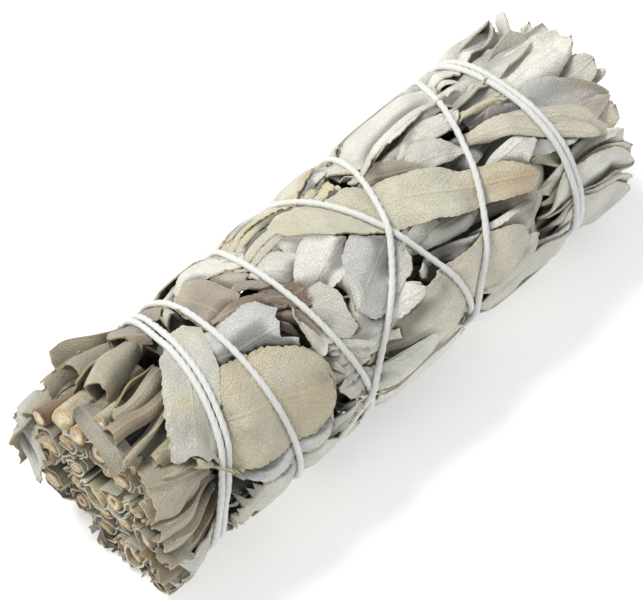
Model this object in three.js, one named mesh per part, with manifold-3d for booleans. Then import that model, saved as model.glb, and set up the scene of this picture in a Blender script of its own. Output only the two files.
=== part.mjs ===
// A bunch of dried white sage: leafy sprigs laid side by side and bound with one cotton string.
// Millimetres, +Z up. X runs from the cut stem ends to the leaf tips, and the bunch lies on Z = 0.
// A place on the bunch is given by "along", from the cut end, and "around", in degrees from the
// top towards -Y. Leaves are laid one on another: a map of the bunch's surface holds how high it
// stands so far and which sprig is uppermost there.
import * as THREE from "three";
import { mergeVertices } from "three/addons/utils/BufferGeometryUtils.js";
import Module from "manifold-3d";

const wasm = await Module();
wasm.setup();

// Driving dimensions
const bunch = { length: 108, coreRadius: 13.8, leafRadius: 18, pressedRadius: 17.1, coreStart: 4.6, coreEnd: 94, shoulder: 84, layRadius: 16.5 };
const leaf = { thickness: 0.62, clearance: 0.12, petiole: 1.8, sink: 0.42, coreSink: 1.1, archShare: 0.6, finest: 0.012, shortest: 0.025 };
const string = { diameter: 1.1, sides: 5, step: 4.2, clearance: 0.15, waist: 3.6, puff: 0.9, cross: 0.15 };
const rest = { halfWidth: 36, pressedRadius: 15.9, leafRadius: 18.8, arch: 3.4, squash: 0.32 };
// Each ring of sprigs: its walls, and its stems as [around, distance from the axis, diameter, start].
const rings = [
  { inner: 0, outer: 2.9, gap: 0, stems: [[0, 0, 3.6, 2.2]] },
  {
    inner: 3.2, outer: 7.9, gap: 0.3,
    stems: [[180, 5.6, 2.4, 3.4], [-112, 5.6, 2.4, 2.6], [-58, 5.5, 2.2, 2.4], [4, 5.5, 2.4, 4.4], [48, 5.5, 3.2, 2],
      [114, 5.6, 2.6, 2.8]],
  },
  {
    inner: 8.2, outer: bunch.coreRadius, gap: 0.3,
    stems: [[180, 10.8, 2.6, 3.2], [-150, 10.8, 2.6, 3.4], [-120, 11, 3.3, 1.4], [-92, 10.8, 2.8, 1.6], [-60, 10.6, 3.4, 1.2],
      [-33, 10.8, 3.1, 2], [0, 11, 3.3, 3.6], [28, 11, 2.7, 3], [55, 10.8, 2.6, 2.2], [84, 11, 2.7, 2], [127, 10.9, 2.9, 1.6],
      [152, 10.8, 2.5, 2.8]],
  },
];
const sageColour = 0xb9b8a8;
const stringColour = 0xebebe6;

const radians = THREE.MathUtils.degToRad;
const clamp = THREE.MathUtils.clamp;

// A small seeded random source, so that every build is the same.
function makeRandom(seed) {
  let state = seed >>> 0;
  return () => {
    state = (Math.imul(state, 1664525) + 1013904223) >>> 0;
    return state / 4294967296;
  };
}

// The bunch narrows to a blunt dome at the leaf tips.
function domeShare(along) {
  const past = clamp((along - bunch.shoulder) / (bunch.length + 2 - bunch.shoulder), 0, 0.98);
  return Math.cbrt(1 - past ** 3);
}

// A point from its place on the bunch and its distance from the axis, with the axis on X.
function place(along, around, radius) {
  const a = radians(around);
  return new THREE.Vector3(along, -radius * Math.sin(a), radius * Math.cos(a));
}

function placeOf(point) {
  return {
    along: point.x,
    around: THREE.MathUtils.radToDeg(Math.atan2(-point.y, point.z)),
    radius: Math.hypot(point.y, point.z),
  };
}

// How far the cores reach out from the axis: less where many leaves lie on them.
const dips = [
  // along, around, depth, spread
  [82, 2, 4, 15], [97, 32, 1.8, 12], [12, 66, 2.6, 14], [36, 8, 1.8, 12], [66, -46, 1.8, 10],
  [66, 78, 1.2, 12], [32, -50, 1.2, 12], [22, 38, 1.4, 10], [48, 136, 1, 16], [92, 95, 1.2, 10],
  [76, 180, 1.6, 14], [32, 186, 1, 14], [50, 180, 0.8, 30], [50, 262, 1, 12], [90, 34, 1.2, 9], [22, 46, 2.2, 10],
];
function bed(along, around) {
  let radius = bunch.coreRadius;
  for (const [a, r, depth, spread] of dips) {
    const turn = radians(THREE.MathUtils.euclideanModulo(around - r + 180, 360) - 180) * bunch.layRadius;
    radius -= depth * Math.exp(-((along - a) ** 2 + turn ** 2) / spread ** 2);
  }
  return radius * domeShare(along);
}

function solidFrom(geometry) {
  const bare = geometry.clone();
  bare.deleteAttribute("normal");
  bare.deleteAttribute("uv");
  const merged = mergeVertices(bare, 1e-4);
  return new wasm.Manifold(
    new wasm.Mesh({
      numProp: 3,
      vertProperties: merged.attributes.position.array,
      triVerts: new Uint32Array(merged.index.array),
    }),
  );
}

function geometryFrom(solid) {
  const mesh = solid.getMesh();
  return new THREE.BufferGeometry()
    .setAttribute("position", new THREE.BufferAttribute(mesh.vertProperties, 3))
    .setIndex(new THREE.BufferAttribute(mesh.triVerts, 1));
}

// ---- The string's route, as [turned, along]: degrees turned round the bunch, and place along it.
const route = [
  [-140, 13], [-100, 20], [-60, 23.5], [-15, 21.6], [15, 19.8], [40, 17.4], [65, 14.4], [85, 12.2],
  [130, 11], [180, 12.5], [235, 18],
  [300, 24.7], [345, 23], [375, 21.3], [400, 19], [425, 16.2], [445, 13.8], [490, 14], [540, 19.5], [600, 26],
  [660, 28], [720, 28], [765, 28], [810, 28.4], [850, 30], [900, 34], [960, 39.5],
  [1020, 41.6], [1050, 40.6], [1080, 40.6], [1120, 42], [1155, 43.8], [1200, 45.5], [1260, 47.5], [1330, 51],
  [1398, 54.5], [1425, 57], [1453, 60], [1480, 63], [1505, 65.6], [1530, 67], [1570, 70], [1630, 78], [1690, 86.5],
  [1740, 91], [1800, 92], [1845, 92.3], [1890, 91.4], [1935, 90.8], [1990, 91], [2050, 91.8],
  [2100, 92.5], [2160, 93.4], [2205, 93.8], [2250, 93], [2310, 92], [2370, 91.2], [2420, 89.8],
  [2460, 87.8], [2480, 85.4], [2520, 81], [2550, 77], [2575, 72.8], [2596, 68.8], [2630, 66.4], [2700, 66.8], [2770, 67.2],
  [2835, 66], [2865, 64], [2893, 60.6], [2915, 56], [2935, 50.6], [2955, 45.4], [2985, 38.5], [3030, 29], [3070, 20.5], [3094, 15],
];
const routeCurve = new THREE.CatmullRomCurve3(
  route.map(([turned, along]) => new THREE.Vector3(along, radians(turned) * bunch.layRadius, 0)),
);
const routeSteps = Math.round(routeCurve.getLength() / string.step);
const routePoints = routeCurve
  .getSpacedPoints(routeSteps)
  .map((p) => ({ along: p.x, around: THREE.MathUtils.radToDeg(p.y / bunch.layRadius) }));

// How free a leaf is to stand up, from 0 under the string to 1 well away from it.
function freedom(along, around) {
  let nearest = Infinity;
  for (const p of routePoints) {
    const turn = THREE.MathUtils.euclideanModulo(p.around - around + 180, 360) - 180;
    const across = radians(turn) * bunch.layRadius;
    nearest = Math.min(nearest, (p.along - along) ** 2 + across ** 2);
  }
  return 1 - Math.exp(-nearest / string.waist ** 2);
}

// ---- The surface map
const map = { cell: 0.75, start: -4, columns: 158, rows: 138 };
map.degrees = 360 / map.rows;
map.height = new Float32Array(map.columns * map.rows);
map.owner = new Int16Array(map.columns * map.rows).fill(-1);

function cellAt(along, around) {
  const column = clamp(Math.floor((along - map.start) / map.cell), 0, map.columns - 1);
  const turn = THREE.MathUtils.euclideanModulo(around, 360);
  return column * map.rows + (Math.floor(turn / map.degrees) % map.rows);
}

function cellsRound(along, around, reach) {
  const turn = THREE.MathUtils.radToDeg(reach / bunch.layRadius);
  const found = [];
  for (const da of [-reach, 0, reach]) for (const dr of [-turn, 0, turn]) found.push(cellAt(along + da, around + dr));
  return found;
}

// Visits points spread over a triangle, at most "step" apart, with each corner's share in them.
function overTriangle(a, b, c, step, visit) {
  const parts = Math.ceil(Math.max(a.distanceTo(b), b.distanceTo(c), c.distanceTo(a)) / step);
  const p = new THREE.Vector3();
  for (let i = 0; i <= parts; i++)
    for (let j = 0; i + j <= parts; j++) {
      const shares = [1 - (i + j) / parts, i / parts, j / parts];
      p.set(0, 0, 0);
      [a, b, c].forEach((corner, k) => p.addScaledVector(corner, shares[k]));
      visit(p, shares);
    }
}

// Raises the map to a triangle's height and gives the ground there to its sprig.
function cover(a, b, c, owner) {
  overTriangle(a, b, c, 0.5, (p) => {
    const at = placeOf(p);
    for (const cell of cellsRound(at.along, at.around, 0.3))
      if (at.radius > map.height[cell]) {
        map.height[cell] = at.radius;
        map.owner[cell] = owner;
      }
  });
}

// ---- Sprigs: a stem in a core of pressed inner leaves
const sprigs = [];

function stemSolid({ stem }) {
  const { radius, from, to } = stem;
  const pith = radius * 0.38;
  const profile = [
    [0, pith * 1.6], [pith, pith * 1.2], [pith, 0], [radius, 0], [radius * 1.04, to - from], [0, to - from],
  ].map(([x, y]) => new THREE.Vector2(x, y));
  const turned = new THREE.LatheGeometry(profile, 7).rotateZ(-Math.PI / 2);
  const at = place(from, stem.around, stem.out);
  return solidFrom(turned.translate(at.x, at.y, at.z));
}

const coreSteps = 9;
function coreSolid(sprig) {
  const { ring, around } = sprig;
  const half = 180 / ring.stems.length;
  const margin = ring.gap ? THREE.MathUtils.radToDeg(ring.gap / 2 / ring.inner) : 0;
  const low = radians(around - half + margin);
  const high = radians(around + half - margin);
  const shape = new THREE.Shape();
  if (ring.inner) {
    shape.absarc(0, 0, ring.outer, low, high, false);
    shape.absarc(0, 0, ring.inner, high, low, true);
  } else shape.absarc(0, 0, ring.outer, 0, 2 * Math.PI, false);
  const depth = sprig.coreEnd - sprig.coreStart;
  const outermost = ring.outer === bunch.coreRadius;
  const core = new THREE.ExtrudeGeometry(shape, {
    depth,
    steps: outermost ? coreSteps : 2,
    bevelEnabled: false,
    curveSegments: ring.inner ? 1 : 4,
  });
  const position = core.attributes.position;
  for (let i = 0; i < position.count; i++) {
    const along = sprig.coreStart + position.getZ(i);
    const around = THREE.MathUtils.radToDeg(Math.atan2(position.getY(i), position.getX(i)));
    const radius = Math.hypot(position.getX(i), position.getY(i));
    const outer = outermost && radius > bunch.coreRadius - 0.1;
    const at = place(along, around, outer ? bed(along, around) : radius * domeShare(along));
    position.setXYZ(i, at.x, at.y, at.z);
  }
  return solidFrom(core);
}

// A closed blade between two grids of points, its under side and its upper side.
function bladeSolid(under, upper) {
  const rows = under.length;
  const columns = under[0].length;
  const corners = [...under.flat(), ...upper.flat()];
  const at = (side, i, j) => (side * rows + i) * columns + j;
  const faces = [];
  const quad = (a, b, c, d) => faces.push(a, b, c, a, c, d);
  for (let i = 0; i + 1 < rows; i++)
    for (let j = 0; j + 1 < columns; j++) {
      quad(at(0, i, j), at(0, i, j + 1), at(0, i + 1, j + 1), at(0, i + 1, j));
      const [a, b, c, d] = [at(1, i, j), at(1, i + 1, j), at(1, i + 1, j + 1), at(1, i, j + 1)];
      faces.push(a, b, c, a, c, d);
    }
  for (let i = 0; i + 1 < rows; i++) {
    quad(at(0, i, 0), at(0, i + 1, 0), at(1, i + 1, 0), at(1, i, 0));
    const e = columns - 1;
    quad(at(0, i + 1, e), at(0, i, e), at(1, i, e), at(1, i + 1, e));
  }
  for (let j = 0; j + 1 < columns; j++) {
    quad(at(0, 0, j + 1), at(0, 0, j), at(1, 0, j), at(1, 0, j + 1));
    const e = rows - 1;
    quad(at(0, e, j), at(0, e, j + 1), at(1, e, j + 1), at(1, e, j));
  }
  const geometry = new THREE.BufferGeometry()
    .setAttribute("position", new THREE.Float32BufferAttribute(corners.flatMap((p) => p.toArray()), 3))
    .setIndex(faces);
  const made = solidFrom(geometry);
  if (made.volume() > 0) return made;
  for (let i = 0; i < faces.length; i += 3) [faces[i], faces[i + 1]] = [faces[i + 1], faces[i]];
  return solidFrom(geometry.setIndex(faces));
}

// A blade that stands out of a core's end, inside its own cell of the bunch.
function endBlade(sprig, { from, to, out, half, skew, notch }) {
  const rows = [0, 0.72, 1];
  const widths = [1, 0.92, notch];
  const grid = (lift) =>
    rows.map((t, i) =>
      [-1, 1].map((v) => {
        const along = from + (to - from) * (t - (i === 2 ? skew * v : 0));
        const around = sprig.around + v * half * widths[i];
        return place(along, around, (out + lift) * domeShare(Math.max(along, from)));
      }),
    );
  return bladeSolid(grid(0), grid(leaf.thickness));
}

function makeSprig(ring, index) {
  const count = ring.stems.length;
  const random = makeRandom(1000 * count + index * 17 + 5);
  const [stemAround, stemOut, stemDiameter, stemStart] = ring.stems[index];
  const sprig = {
    name: "sprig_" + String(sprigs.length + 1).padStart(2, "0"),
    ring,
    around: count === 1 ? 0 : (360 / count) * index - 180,
    coreStart: bunch.coreStart + 2.4 * random(),
    coreEnd: bunch.coreEnd + (count === 12 ? 0 : 3 * random()),
    stem: { around: stemAround, out: stemOut, radius: stemDiameter / 2, from: stemStart, to: 12 },
  };
  sprig.parts = [coreSolid(sprig), stemSolid(sprig)];
  const half = count === 1 ? 70 : 150 / count - (count === 6 ? 5 : 1.5);
  const outs = count === 1 ? [1.6] : [ring.inner + 1.1, (ring.inner + ring.outer) / 2 + 1.2];
  for (const out of outs) {
    const to = bunch.length - 1 - 7 * random() - (out / bunch.coreRadius) * 2;
    const skew = 0.14 * (random() - 0.5);
    const notch = 0.35 + 0.25 * random();
    sprig.parts.push(endBlade(sprig, { from: sprig.coreEnd - 3, to, out, half, skew, notch }));
  }
  if (count > 1) {
    const wrap = { from: sprig.coreStart + 2, to: 1.2 + 3 * random(), skew: 0.2 * (random() - 0.5) };
    for (const out of [ring.inner + 0.3, Math.min(ring.outer - 1.2, 12.3)])
      sprig.parts.push(endBlade(sprig, { ...wrap, out, half: half * 0.92, notch: 0.9 }));
  }
  sprigs.push(sprig);
}

for (const ring of rings) for (let i = 0; i < ring.stems.length; i++) makeSprig(ring, i);
const outerSprigs = sprigs.filter((s) => s.ring.stems.length === 12);

for (let column = 0; column < map.columns; column++)
  for (let row = 0; row < map.rows; row++) {
    const along = map.start + (column + 0.5) * map.cell;
    const beyond = along < bunch.coreStart + 2.6 || along > bunch.coreEnd - 3;
    map.height[column * map.rows + row] = beyond ? 13.2 * domeShare(along) : 0;
  }
for (const sprig of outerSprigs) {
  const edge = (step, side) => {
    const along = sprig.coreStart + ((sprig.coreEnd - sprig.coreStart) * step) / coreSteps;
    const around = sprig.around + side * 15;
    return place(along, around, bed(along, around));
  };
  for (let step = 0; step < coreSteps; step++) {
    const [a, b, c, d] = [edge(step, -1), edge(step, 1), edge(step + 1, 1), edge(step + 1, -1)];
    for (const ends of [[a, b, c], [a, c, d], [a, b, d], [b, c, d]]) cover(...ends, sprigs.indexOf(sprig));
  }
}

// ---- Leaves
// Half the width of a leaf, as a share of its greatest, from its stalk at 0 to its tip at 1.
function outline(t, ending) {
  if (ending === "stalk") return 1;
  const body = Math.min(1, 0.12 + 1.9 * t + 2.2 * t * t);
  if (ending === "cut") return body;
  const end = Math.sqrt(Math.max(0, 1 - t ** 5));
  return Math.max(body * end, 0.22);
}

// Ground near a leaf's root that one sprig holds all round, nearest first.
function findRoots(along, around) {
  const found = [];
  for (let off = 0; off < 6 && found.length < 8; off += 0.75)
    for (let turn = 0; turn < 360; turn += off ? 45 : 360) {
      const a = along + off * Math.cos(radians(turn));
      const r = around + THREE.MathUtils.radToDeg((off * Math.sin(radians(turn))) / bunch.layRadius);
      const cells = cellsRound(a, r, 0.8);
      const owner = map.owner[cells[4]];
      const heights = cells.map((cell) => map.height[cell]);
      const level = Math.max(...heights) - Math.min(...heights) < 0.3;
      if (owner >= 0 && level && cells.every((cell) => map.owner[cell] === owner))
        found.push({ along: a, around: r, owner, height: map.height[cells[4]] });
    }
  return found;
}

// A leaf's grid of places, before its height is known.
function leafGrid(root, spec) {
  const y0 = radians(root.around) * bunch.layRadius;
  const y1 = radians(spec.to[1]) * bunch.layRadius;
  const [dx, dy] = [spec.to[0] - root.along, y1 - y0];
  const length = Math.hypot(dx, dy);
  const rows = length < 16 ? [0, 0.16, 0.44, 0.72, 1] : [0, 0.11, 0.3, 0.5, 0.7, 0.86, 1];
  const columns = [[-1, 1], [-1, 0, 1], [-1, -0.4, 0.4, 1], [-1, -0.5, 0, 0.5, 1]][
    [4, 8.5, 12.5].filter((w) => spec.width > w).length
  ];
  const side = [-dy / length, dx / length];
  return rows.map((t, i) => {
    const wave = i > 1 && i < rows.length - 1 ? 1 + 0.07 * (i % 2 ? 1 : -1) : 1;
    const half = spec.width * 0.46 * outline(t, spec.ending) * wave;
    const bow = (spec.bow || 0) * Math.sin(Math.PI * t);
    const stretch = spec.width < 5 ? 0.9 : leaf.petiole / 2;
    return columns.map((v) => {
      const off = bow + v * (i === 0 ? Math.min(half, stretch) : half);
      const tipBack = i === rows.length - 1 && spec.ending !== "cut" ? -Math.abs(v) * 0.08 * length : 0;
      const along = root.along + dx * t + side[0] * off + (dx / length) * tipBack;
      const y = y0 + dy * t + side[1] * off + (dy / length) * tipBack;
      return { along, around: THREE.MathUtils.radToDeg(y / bunch.layRadius), v, t, i };
    });
  });
}

// The triangles of a leaf that lie over others, as triples of its grid's points.
function overlying(grid) {
  const found = [];
  for (let i = 1; i + 1 < grid.length; i++)
    for (let j = 0; j + 1 < grid[0].length; j++) {
      found.push([grid[i][j], grid[i][j + 1], grid[i + 1][j + 1]]);
      found.push([grid[i][j], grid[i + 1][j + 1], grid[i + 1][j]]);
    }
  return found;
}

// Visits a triangle with how much room there is between it and what lies beneath it.
function overRoom(ends, visit) {
  overTriangle(...ends.map((g) => place(g.along, g.around, g.radius)), 0.6, (p, shares) => {
    const at = placeOf(p);
    visit(at.radius - map.height[cellAt(at.along, at.around)] - leaf.clearance, shares);
  });
}

// Rests a leaf's under side on all that lies beneath it: it starts well clear, and is then let
// down bit by bit, the highest points first, wherever there is room.
function settle(grid) {
  const triangles = overlying(grid);
  const free = grid.flat().filter((g) => g.i);
  for (const g of free) g.radius = g.target + 3.5;
  for (const share of [0.4, 0.5, 0.5, 0.6, 0.6, 0.7, 0.8, 0.9, 1]) {
    free.sort((p, q) => q.radius - q.target - (p.radius - p.target));
    for (const g of free) {
      let drop = g.radius - g.target;
      for (const ends of triangles)
        if (ends.includes(g))
          overRoom(ends, (room, shares) => {
            const part = shares[ends.indexOf(g)];
            if (part > 0.03) drop = Math.min(drop, room / part);
          });
      g.radius -= share * Math.max(0, drop);
    }
  }
}

// Lays a leaf from one of the roots near its own, a little narrower each time it does not fit.
function layLeaf(spec) {
  for (const share of [1, 0.8, 0.6])
    for (const root of findRoots(...spec.from))
      if (layFrom(root, { ...spec, width: spec.width * share, arch: spec.arch * share })) return;
}

function layFrom(root, spec) {
  const grid = leafGrid(root, spec);
  const sink = root.height < bed(root.along, root.around) + 0.4 ? leaf.coreSink : leaf.sink;
  for (const g of grid.flat()) {
    const ground = map.height[cellAt(g.along, g.around)];
    const free = freedom(g.along, g.around) * Math.min(1, g.t * 3);
    const arch = spec.arch * leaf.archShare * (1 - g.v * g.v) * free;
    const puff = ground < bed(g.along, g.around) + 0.4 ? string.puff * free : 0;
    g.target = ground + leaf.clearance + Math.max(arch, puff);
    g.radius = g.target;
  }
  settle(grid);
  for (const g of grid[0]) g.radius = root.height - sink;
  const limit = (g) => {
    const pressed = freedom(g.along, g.around) < 0.45;
    if (Math.abs(THREE.MathUtils.euclideanModulo(g.around, 360) - 180) < rest.halfWidth)
      return pressed ? rest.pressedRadius : rest.leafRadius;
    return pressed ? bunch.pressedRadius : bunch.leafRadius;
  };
  const spare = Math.min(...grid.flat().map((g) => limit(g) - g.radius - leaf.thickness));
  for (let lift = 0; lift < Math.min(0.9, spare); lift += 0.12) {
    const side = (extra) =>
      grid.map((row, i) => row.map((g) => place(g.along, g.around, g.radius + extra + (i ? lift : 0))));
    const upper = side(leaf.thickness);
    const fat = bladeSolid(side(-0.08), side(leaf.thickness + 0.08));
    const box = fat.boundingBox();
    if (sprigs.some((other, k) => k !== root.owner && other.parts.some((part) => meet(part, fat, box)))) continue;
    sprigs[root.owner].parts.push(bladeSolid(side(0), upper));
    for (let i = 0; i + 1 < upper.length; i++)
      for (let j = 0; j + 1 < upper[0].length; j++) {
        cover(upper[i][j], upper[i][j + 1], upper[i + 1][j + 1], root.owner);
        cover(upper[i][j], upper[i + 1][j + 1], upper[i + 1][j], root.owner);
      }
    return true;
  }
  return false;
}
function meet(part, solid, box) {
  const other = part.boundingBox();
  for (let k = 0; k < 3; k++) if (box.max[k] < other.min[k] || other.max[k] < box.min[k]) return false;
  return part.intersect(solid).volume() > 1e-4;
}

// The leaves that show most, from the tips back to the cut end.
// from: where the leaf leaves its sprig; to: where its tip lies; both [along, around].
const placedLeaves = [
  { from: [84, -52], to: [105, -44], width: 13, arch: 0.5 },
  { from: [82, -30], to: [105, -28], width: 9, arch: 0.8 },
  { from: [85, -14], to: [107, -11], width: 12, arch: 0.3 },
  { from: [83, 3], to: [106, 6], width: 8, arch: 0.9 },
  { from: [81, 16], to: [105, 33], width: 13, arch: 0.4 },
  { from: [86, 46], to: [104, 50], width: 10, arch: 0.7 },
  { from: [84, 61], to: [104, 66], width: 10, arch: 0.8 },
  { from: [86, 74], to: [103, 79], width: 11, arch: 0.5 },
  { from: [84, 90], to: [103, 92], width: 12, arch: 0.5 },
  { from: [74, -4], to: [102, 56], width: 6, arch: 1, bow: 1.5 },
  { from: [62, -54], to: [85, -37], width: 14, arch: 0.5 },
  { from: [73, -22], to: [93, -24], width: 8.5, arch: 1 },
  { from: [75, -14], to: [91, -5], width: 2.6, arch: 0, ending: "stalk" },
  { from: [78, 26], to: [92, 24], width: 8, arch: 0.8 },
  { from: [88, 33], to: [80, 76], width: 10, arch: 0.3 },
  { from: [60, 34], to: [83, 48], width: 12, arch: 0.5 },
  { from: [58, 50], to: [80, 64], width: 11, arch: 0.5 },
  { from: [46, -20], to: [86, 44], width: 10, arch: 2, bow: 2.5 },
  { from: [45, 64], to: [72, 62], width: 9, arch: 0.9 },
  { from: [48, 30], to: [67, 27], width: 14, arch: 0.3 },
  { from: [47, 15], to: [48, 42], width: 5, arch: 0.7 },
  { from: [38, -8], to: [53, -3], width: 11, arch: 0.3 },
  { from: [41, 14], to: [57, 2], width: 8, arch: 0.5 },
  { from: [33, 44], to: [49, 58], width: 5, arch: 0.9 },
  { from: [50, 76], to: [68, 84], width: 11, arch: 0.5 },
  { from: [66, 75], to: [85, 84], width: 12, arch: 0.5 },
  { from: [40, 74], to: [58, 76], width: 9, arch: 0.5 },
  { from: [60, -62], to: [67, -24], width: 7, arch: 0.8 },
  { from: [37, -26], to: [60, -19], width: 3, arch: 0, ending: "stalk" },
  { from: [28, -40], to: [44, -28], width: 9, arch: 0.4 },
  { from: [26, -56], to: [53, -48], width: 12, arch: 0.5 },
  { from: [23, -22], to: [36, -12], width: 12, arch: 0.2 },
  { from: [29, 2], to: [43, 13], width: 5.5, arch: 1 },
  { from: [33, 14], to: [41, 28], width: 6, arch: 0.8 },
  { from: [17, 12], to: [37, 20], width: 13, arch: 0.2, ending: "cut" },
  { from: [13, 34], to: [37, 58], width: 15, arch: 0.2 },
  { from: [8, 50], to: [33, 72], width: 14, arch: 0.4 },
  { from: [23, -14], to: [13, 30], width: 8.5, arch: 0.2 },
  { from: [16, -26], to: [29, -24], width: 8, arch: 0.4 },
  { from: [23, -44], to: [9, -24], width: 6.5, arch: 1.6, ending: "cut" },
  { from: [14, -57], to: [2, -57], width: 2.8, arch: 0, ending: "stalk" },
  { from: [13, -35], to: [1, -34], width: 3.3, arch: 0, ending: "stalk" },
  { from: [18, -6], to: [7, 0], width: 5.2, arch: 1.2, ending: "cut" },
  { from: [17, 4], to: [5, 9], width: 7, arch: 0.8 },
  { from: [16, 16], to: [3, 22], width: 8, arch: 0.6, ending: "cut" },
  { from: [14, 52], to: [3, 36], width: 8, arch: 0.9, ending: "cut" },
  { from: [14, 73], to: [2, 71], width: 7, arch: 0.8, ending: "cut" },
  { from: [13, 84], to: [1.5, 82], width: 8, arch: 0.6, ending: "cut" },
  { from: [20, 78], to: [38, 80], width: 9, arch: 0.6 },
  { from: [10, 88], to: [28, 88], width: 11, arch: 0.5 },
];

// The rest of the leaves, which go round the back in staggered rows.
function backLeaves() {
  const random = makeRandom(77);
  const found = [];
  for (const [start, reach, count, width] of [
    [84, 21, 5, 12.8], [66, 27, 5, 14], [47, 30, 5, 14], [28, 30, 5, 14], [10, 29, 5, 14],
  ])
    for (let k = 0; k < count; k++) {
      const around = 102 + ((k + 0.5) / count) * 196 + 10 * (random() - 0.5);
      const along = start + 7 * (random() - 0.5);
      const length = reach * (0.85 + 0.3 * random());
      const turn = (random() - 0.5) * 46;
      found.push({
        from: [Math.max(along, bunch.coreStart + 3), around],
        to: [Math.min(along + length, bunch.length - 2), around + turn],
        width: width * (0.8 + 0.4 * random()),
        arch: Math.abs(around - 180) < rest.halfWidth ? rest.arch : 0.2 + 0.4 * random(),
      });
    }
  for (let k = 0; k < 6; k++) {
    const around = 105 + k * 33 + 10 * (random() - 0.5);
    const from = [15 + 3 * random(), around];
    found.push({ from, to: [2 + 3 * random(), around + 16 * (random() - 0.5)], width: 6.5 + 3 * random(), arch: 0.8, ending: "cut" });
  }
  return found;
}

const byRoot = (a, b) => b.from[0] - a.from[0];
for (const spec of [...placedLeaves, ...backLeaves()].sort(byRoot)) layLeaf(spec);

// ---- The string, laid over the leaves and over its own earlier turns
function unrolled(p, from = p.around) {
  const turn = THREE.MathUtils.euclideanModulo(p.around - from + 180, 360) - 180;
  return [p.along, radians(turn) * bunch.layRadius];
}

// Marks where a stretch of string passes over an earlier one.
function crossings() {
  const over = routePoints.map(() => 0);
  for (let i = 3; i + 1 < routePoints.length; i++)
    for (let k = 0; k < i - 2; k++) {
      const [a, b, c, d] = [i, i + 1, k, k + 1].map((n) => unrolled(routePoints[n], routePoints[i].around));
      if (Math.abs(c[1]) > 20 || Math.abs(d[1]) > 20) continue;
      const side = (p, q, r) => (q[0] - p[0]) * (r[1] - p[1]) - (q[1] - p[1]) * (r[0] - p[0]);
      if (side(a, b, c) * side(a, b, d) < 0 && side(c, d, a) * side(c, d, b) < 0) over[i] = over[i + 1] = 1;
    }
  return over;
}

// Visits a stretch of the string with the room beneath it.
function alongStretch(heights, i, visit) {
  const half = string.diameter / 2;
  const [a, b] = [i, i + 1].map((n) => place(routePoints[n].along, routePoints[n].around, heights[n]));
  for (let t = 0; t <= 1; t += 0.125)
    for (const off of [-half, 0, half]) {
      const at = placeOf(a.clone().lerp(b, t));
      const under = map.height[cellAt(at.along + off, at.around)];
      visit(at.radius - under - string.clearance - half, t);
    }
}

// The string's distance from the axis, point by point. Taut string bridges the dips: it is
// nowhere below a straight line between its neighbours.
function stringHeights() {
  const last = routePoints.length - 1;
  const heights = routePoints.map(() => 0);
  for (let i = 0; i < last; i++) {
    const level = routePoints.map(() => bunch.layRadius + 4);
    let highest = 0;
    alongStretch(level, i, (room) => (highest = Math.max(highest, bunch.layRadius + 4.1 - room)));
    for (const n of [i, i + 1]) heights[n] = Math.max(heights[n], highest);
  }
  for (let pass = 0; pass < 8; pass++) {
    const order = heights.map((h, i) => i).sort((i, k) => heights[k] - heights[i]);
    for (const i of order) {
      let drop = 2;
      if (i < last) alongStretch(heights, i, (room, t) => t < 1 && (drop = Math.min(drop, room / (1 - t))));
      if (i) alongStretch(heights, i - 1, (room, t) => t && (drop = Math.min(drop, room / t)));
      heights[i] -= 0.6 * Math.max(0, drop);
    }
  }
  const sag = string.step ** 2 / (2 * bunch.layRadius);
  for (let pass = 0; pass < 8; pass++)
    for (let i = 1; i < last; i++) heights[i] = Math.max(heights[i], (heights[i - 1] + heights[i + 1]) / 2 - sag);
  const over = crossings();
  return heights.map((h, i) => h + over[i] * (string.diameter + string.cross));
}

function stringSolid() {
  const heights = stringHeights();
  const path = routePoints.map((p, i) => place(p.along, p.around, heights[i]));
  const corners = [];
  const faces = [];
  const { sides } = string;
  path.forEach((p, i) => {
    const ahead = path[Math.min(i + 1, path.length - 1)].clone().sub(path[Math.max(i - 1, 0)]).normalize();
    const outward = new THREE.Vector3(0, p.y, p.z).projectOnPlane(ahead).normalize();
    const sideways = new THREE.Vector3().crossVectors(ahead, outward);
    for (let k = 0; k < sides; k++) {
      const a = (2 * Math.PI * k) / sides;
      const corner = p.clone().addScaledVector(outward, (Math.cos(a) * string.diameter) / 2);
      corners.push(corner.addScaledVector(sideways, (Math.sin(a) * string.diameter) / 2));
    }
    for (let k = 0; i && k < sides; k++) {
      const [a, b] = [(i - 1) * sides + k, (i - 1) * sides + ((k + 1) % sides)];
      faces.push(a, b, b + sides, a, b + sides, a + sides);
    }
  });
  const last = (path.length - 1) * sides;
  for (let k = 1; k + 1 < sides; k++) faces.push(0, k + 1, k, last, last + k, last + k + 1);
  const geometry = new THREE.BufferGeometry()
    .setAttribute("position", new THREE.Float32BufferAttribute(corners.flatMap((p) => p.toArray()), 3))
    .setIndex(faces);
  const tube = solidFrom(geometry);
  const knot = new THREE.TorusKnotGeometry(1.2, 0.55, 22, 5, 2, 3).rotateX(radians(60));
  const at = path[0].clone().lerp(path[path.length - 1], 0.5);
  at.multiplyScalar(1).add(new THREE.Vector3(0, at.y, at.z).normalize().multiplyScalar(0.7));
  return tube.add(solidFrom(knot.translate(at.x, at.y, at.z)));
}

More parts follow.
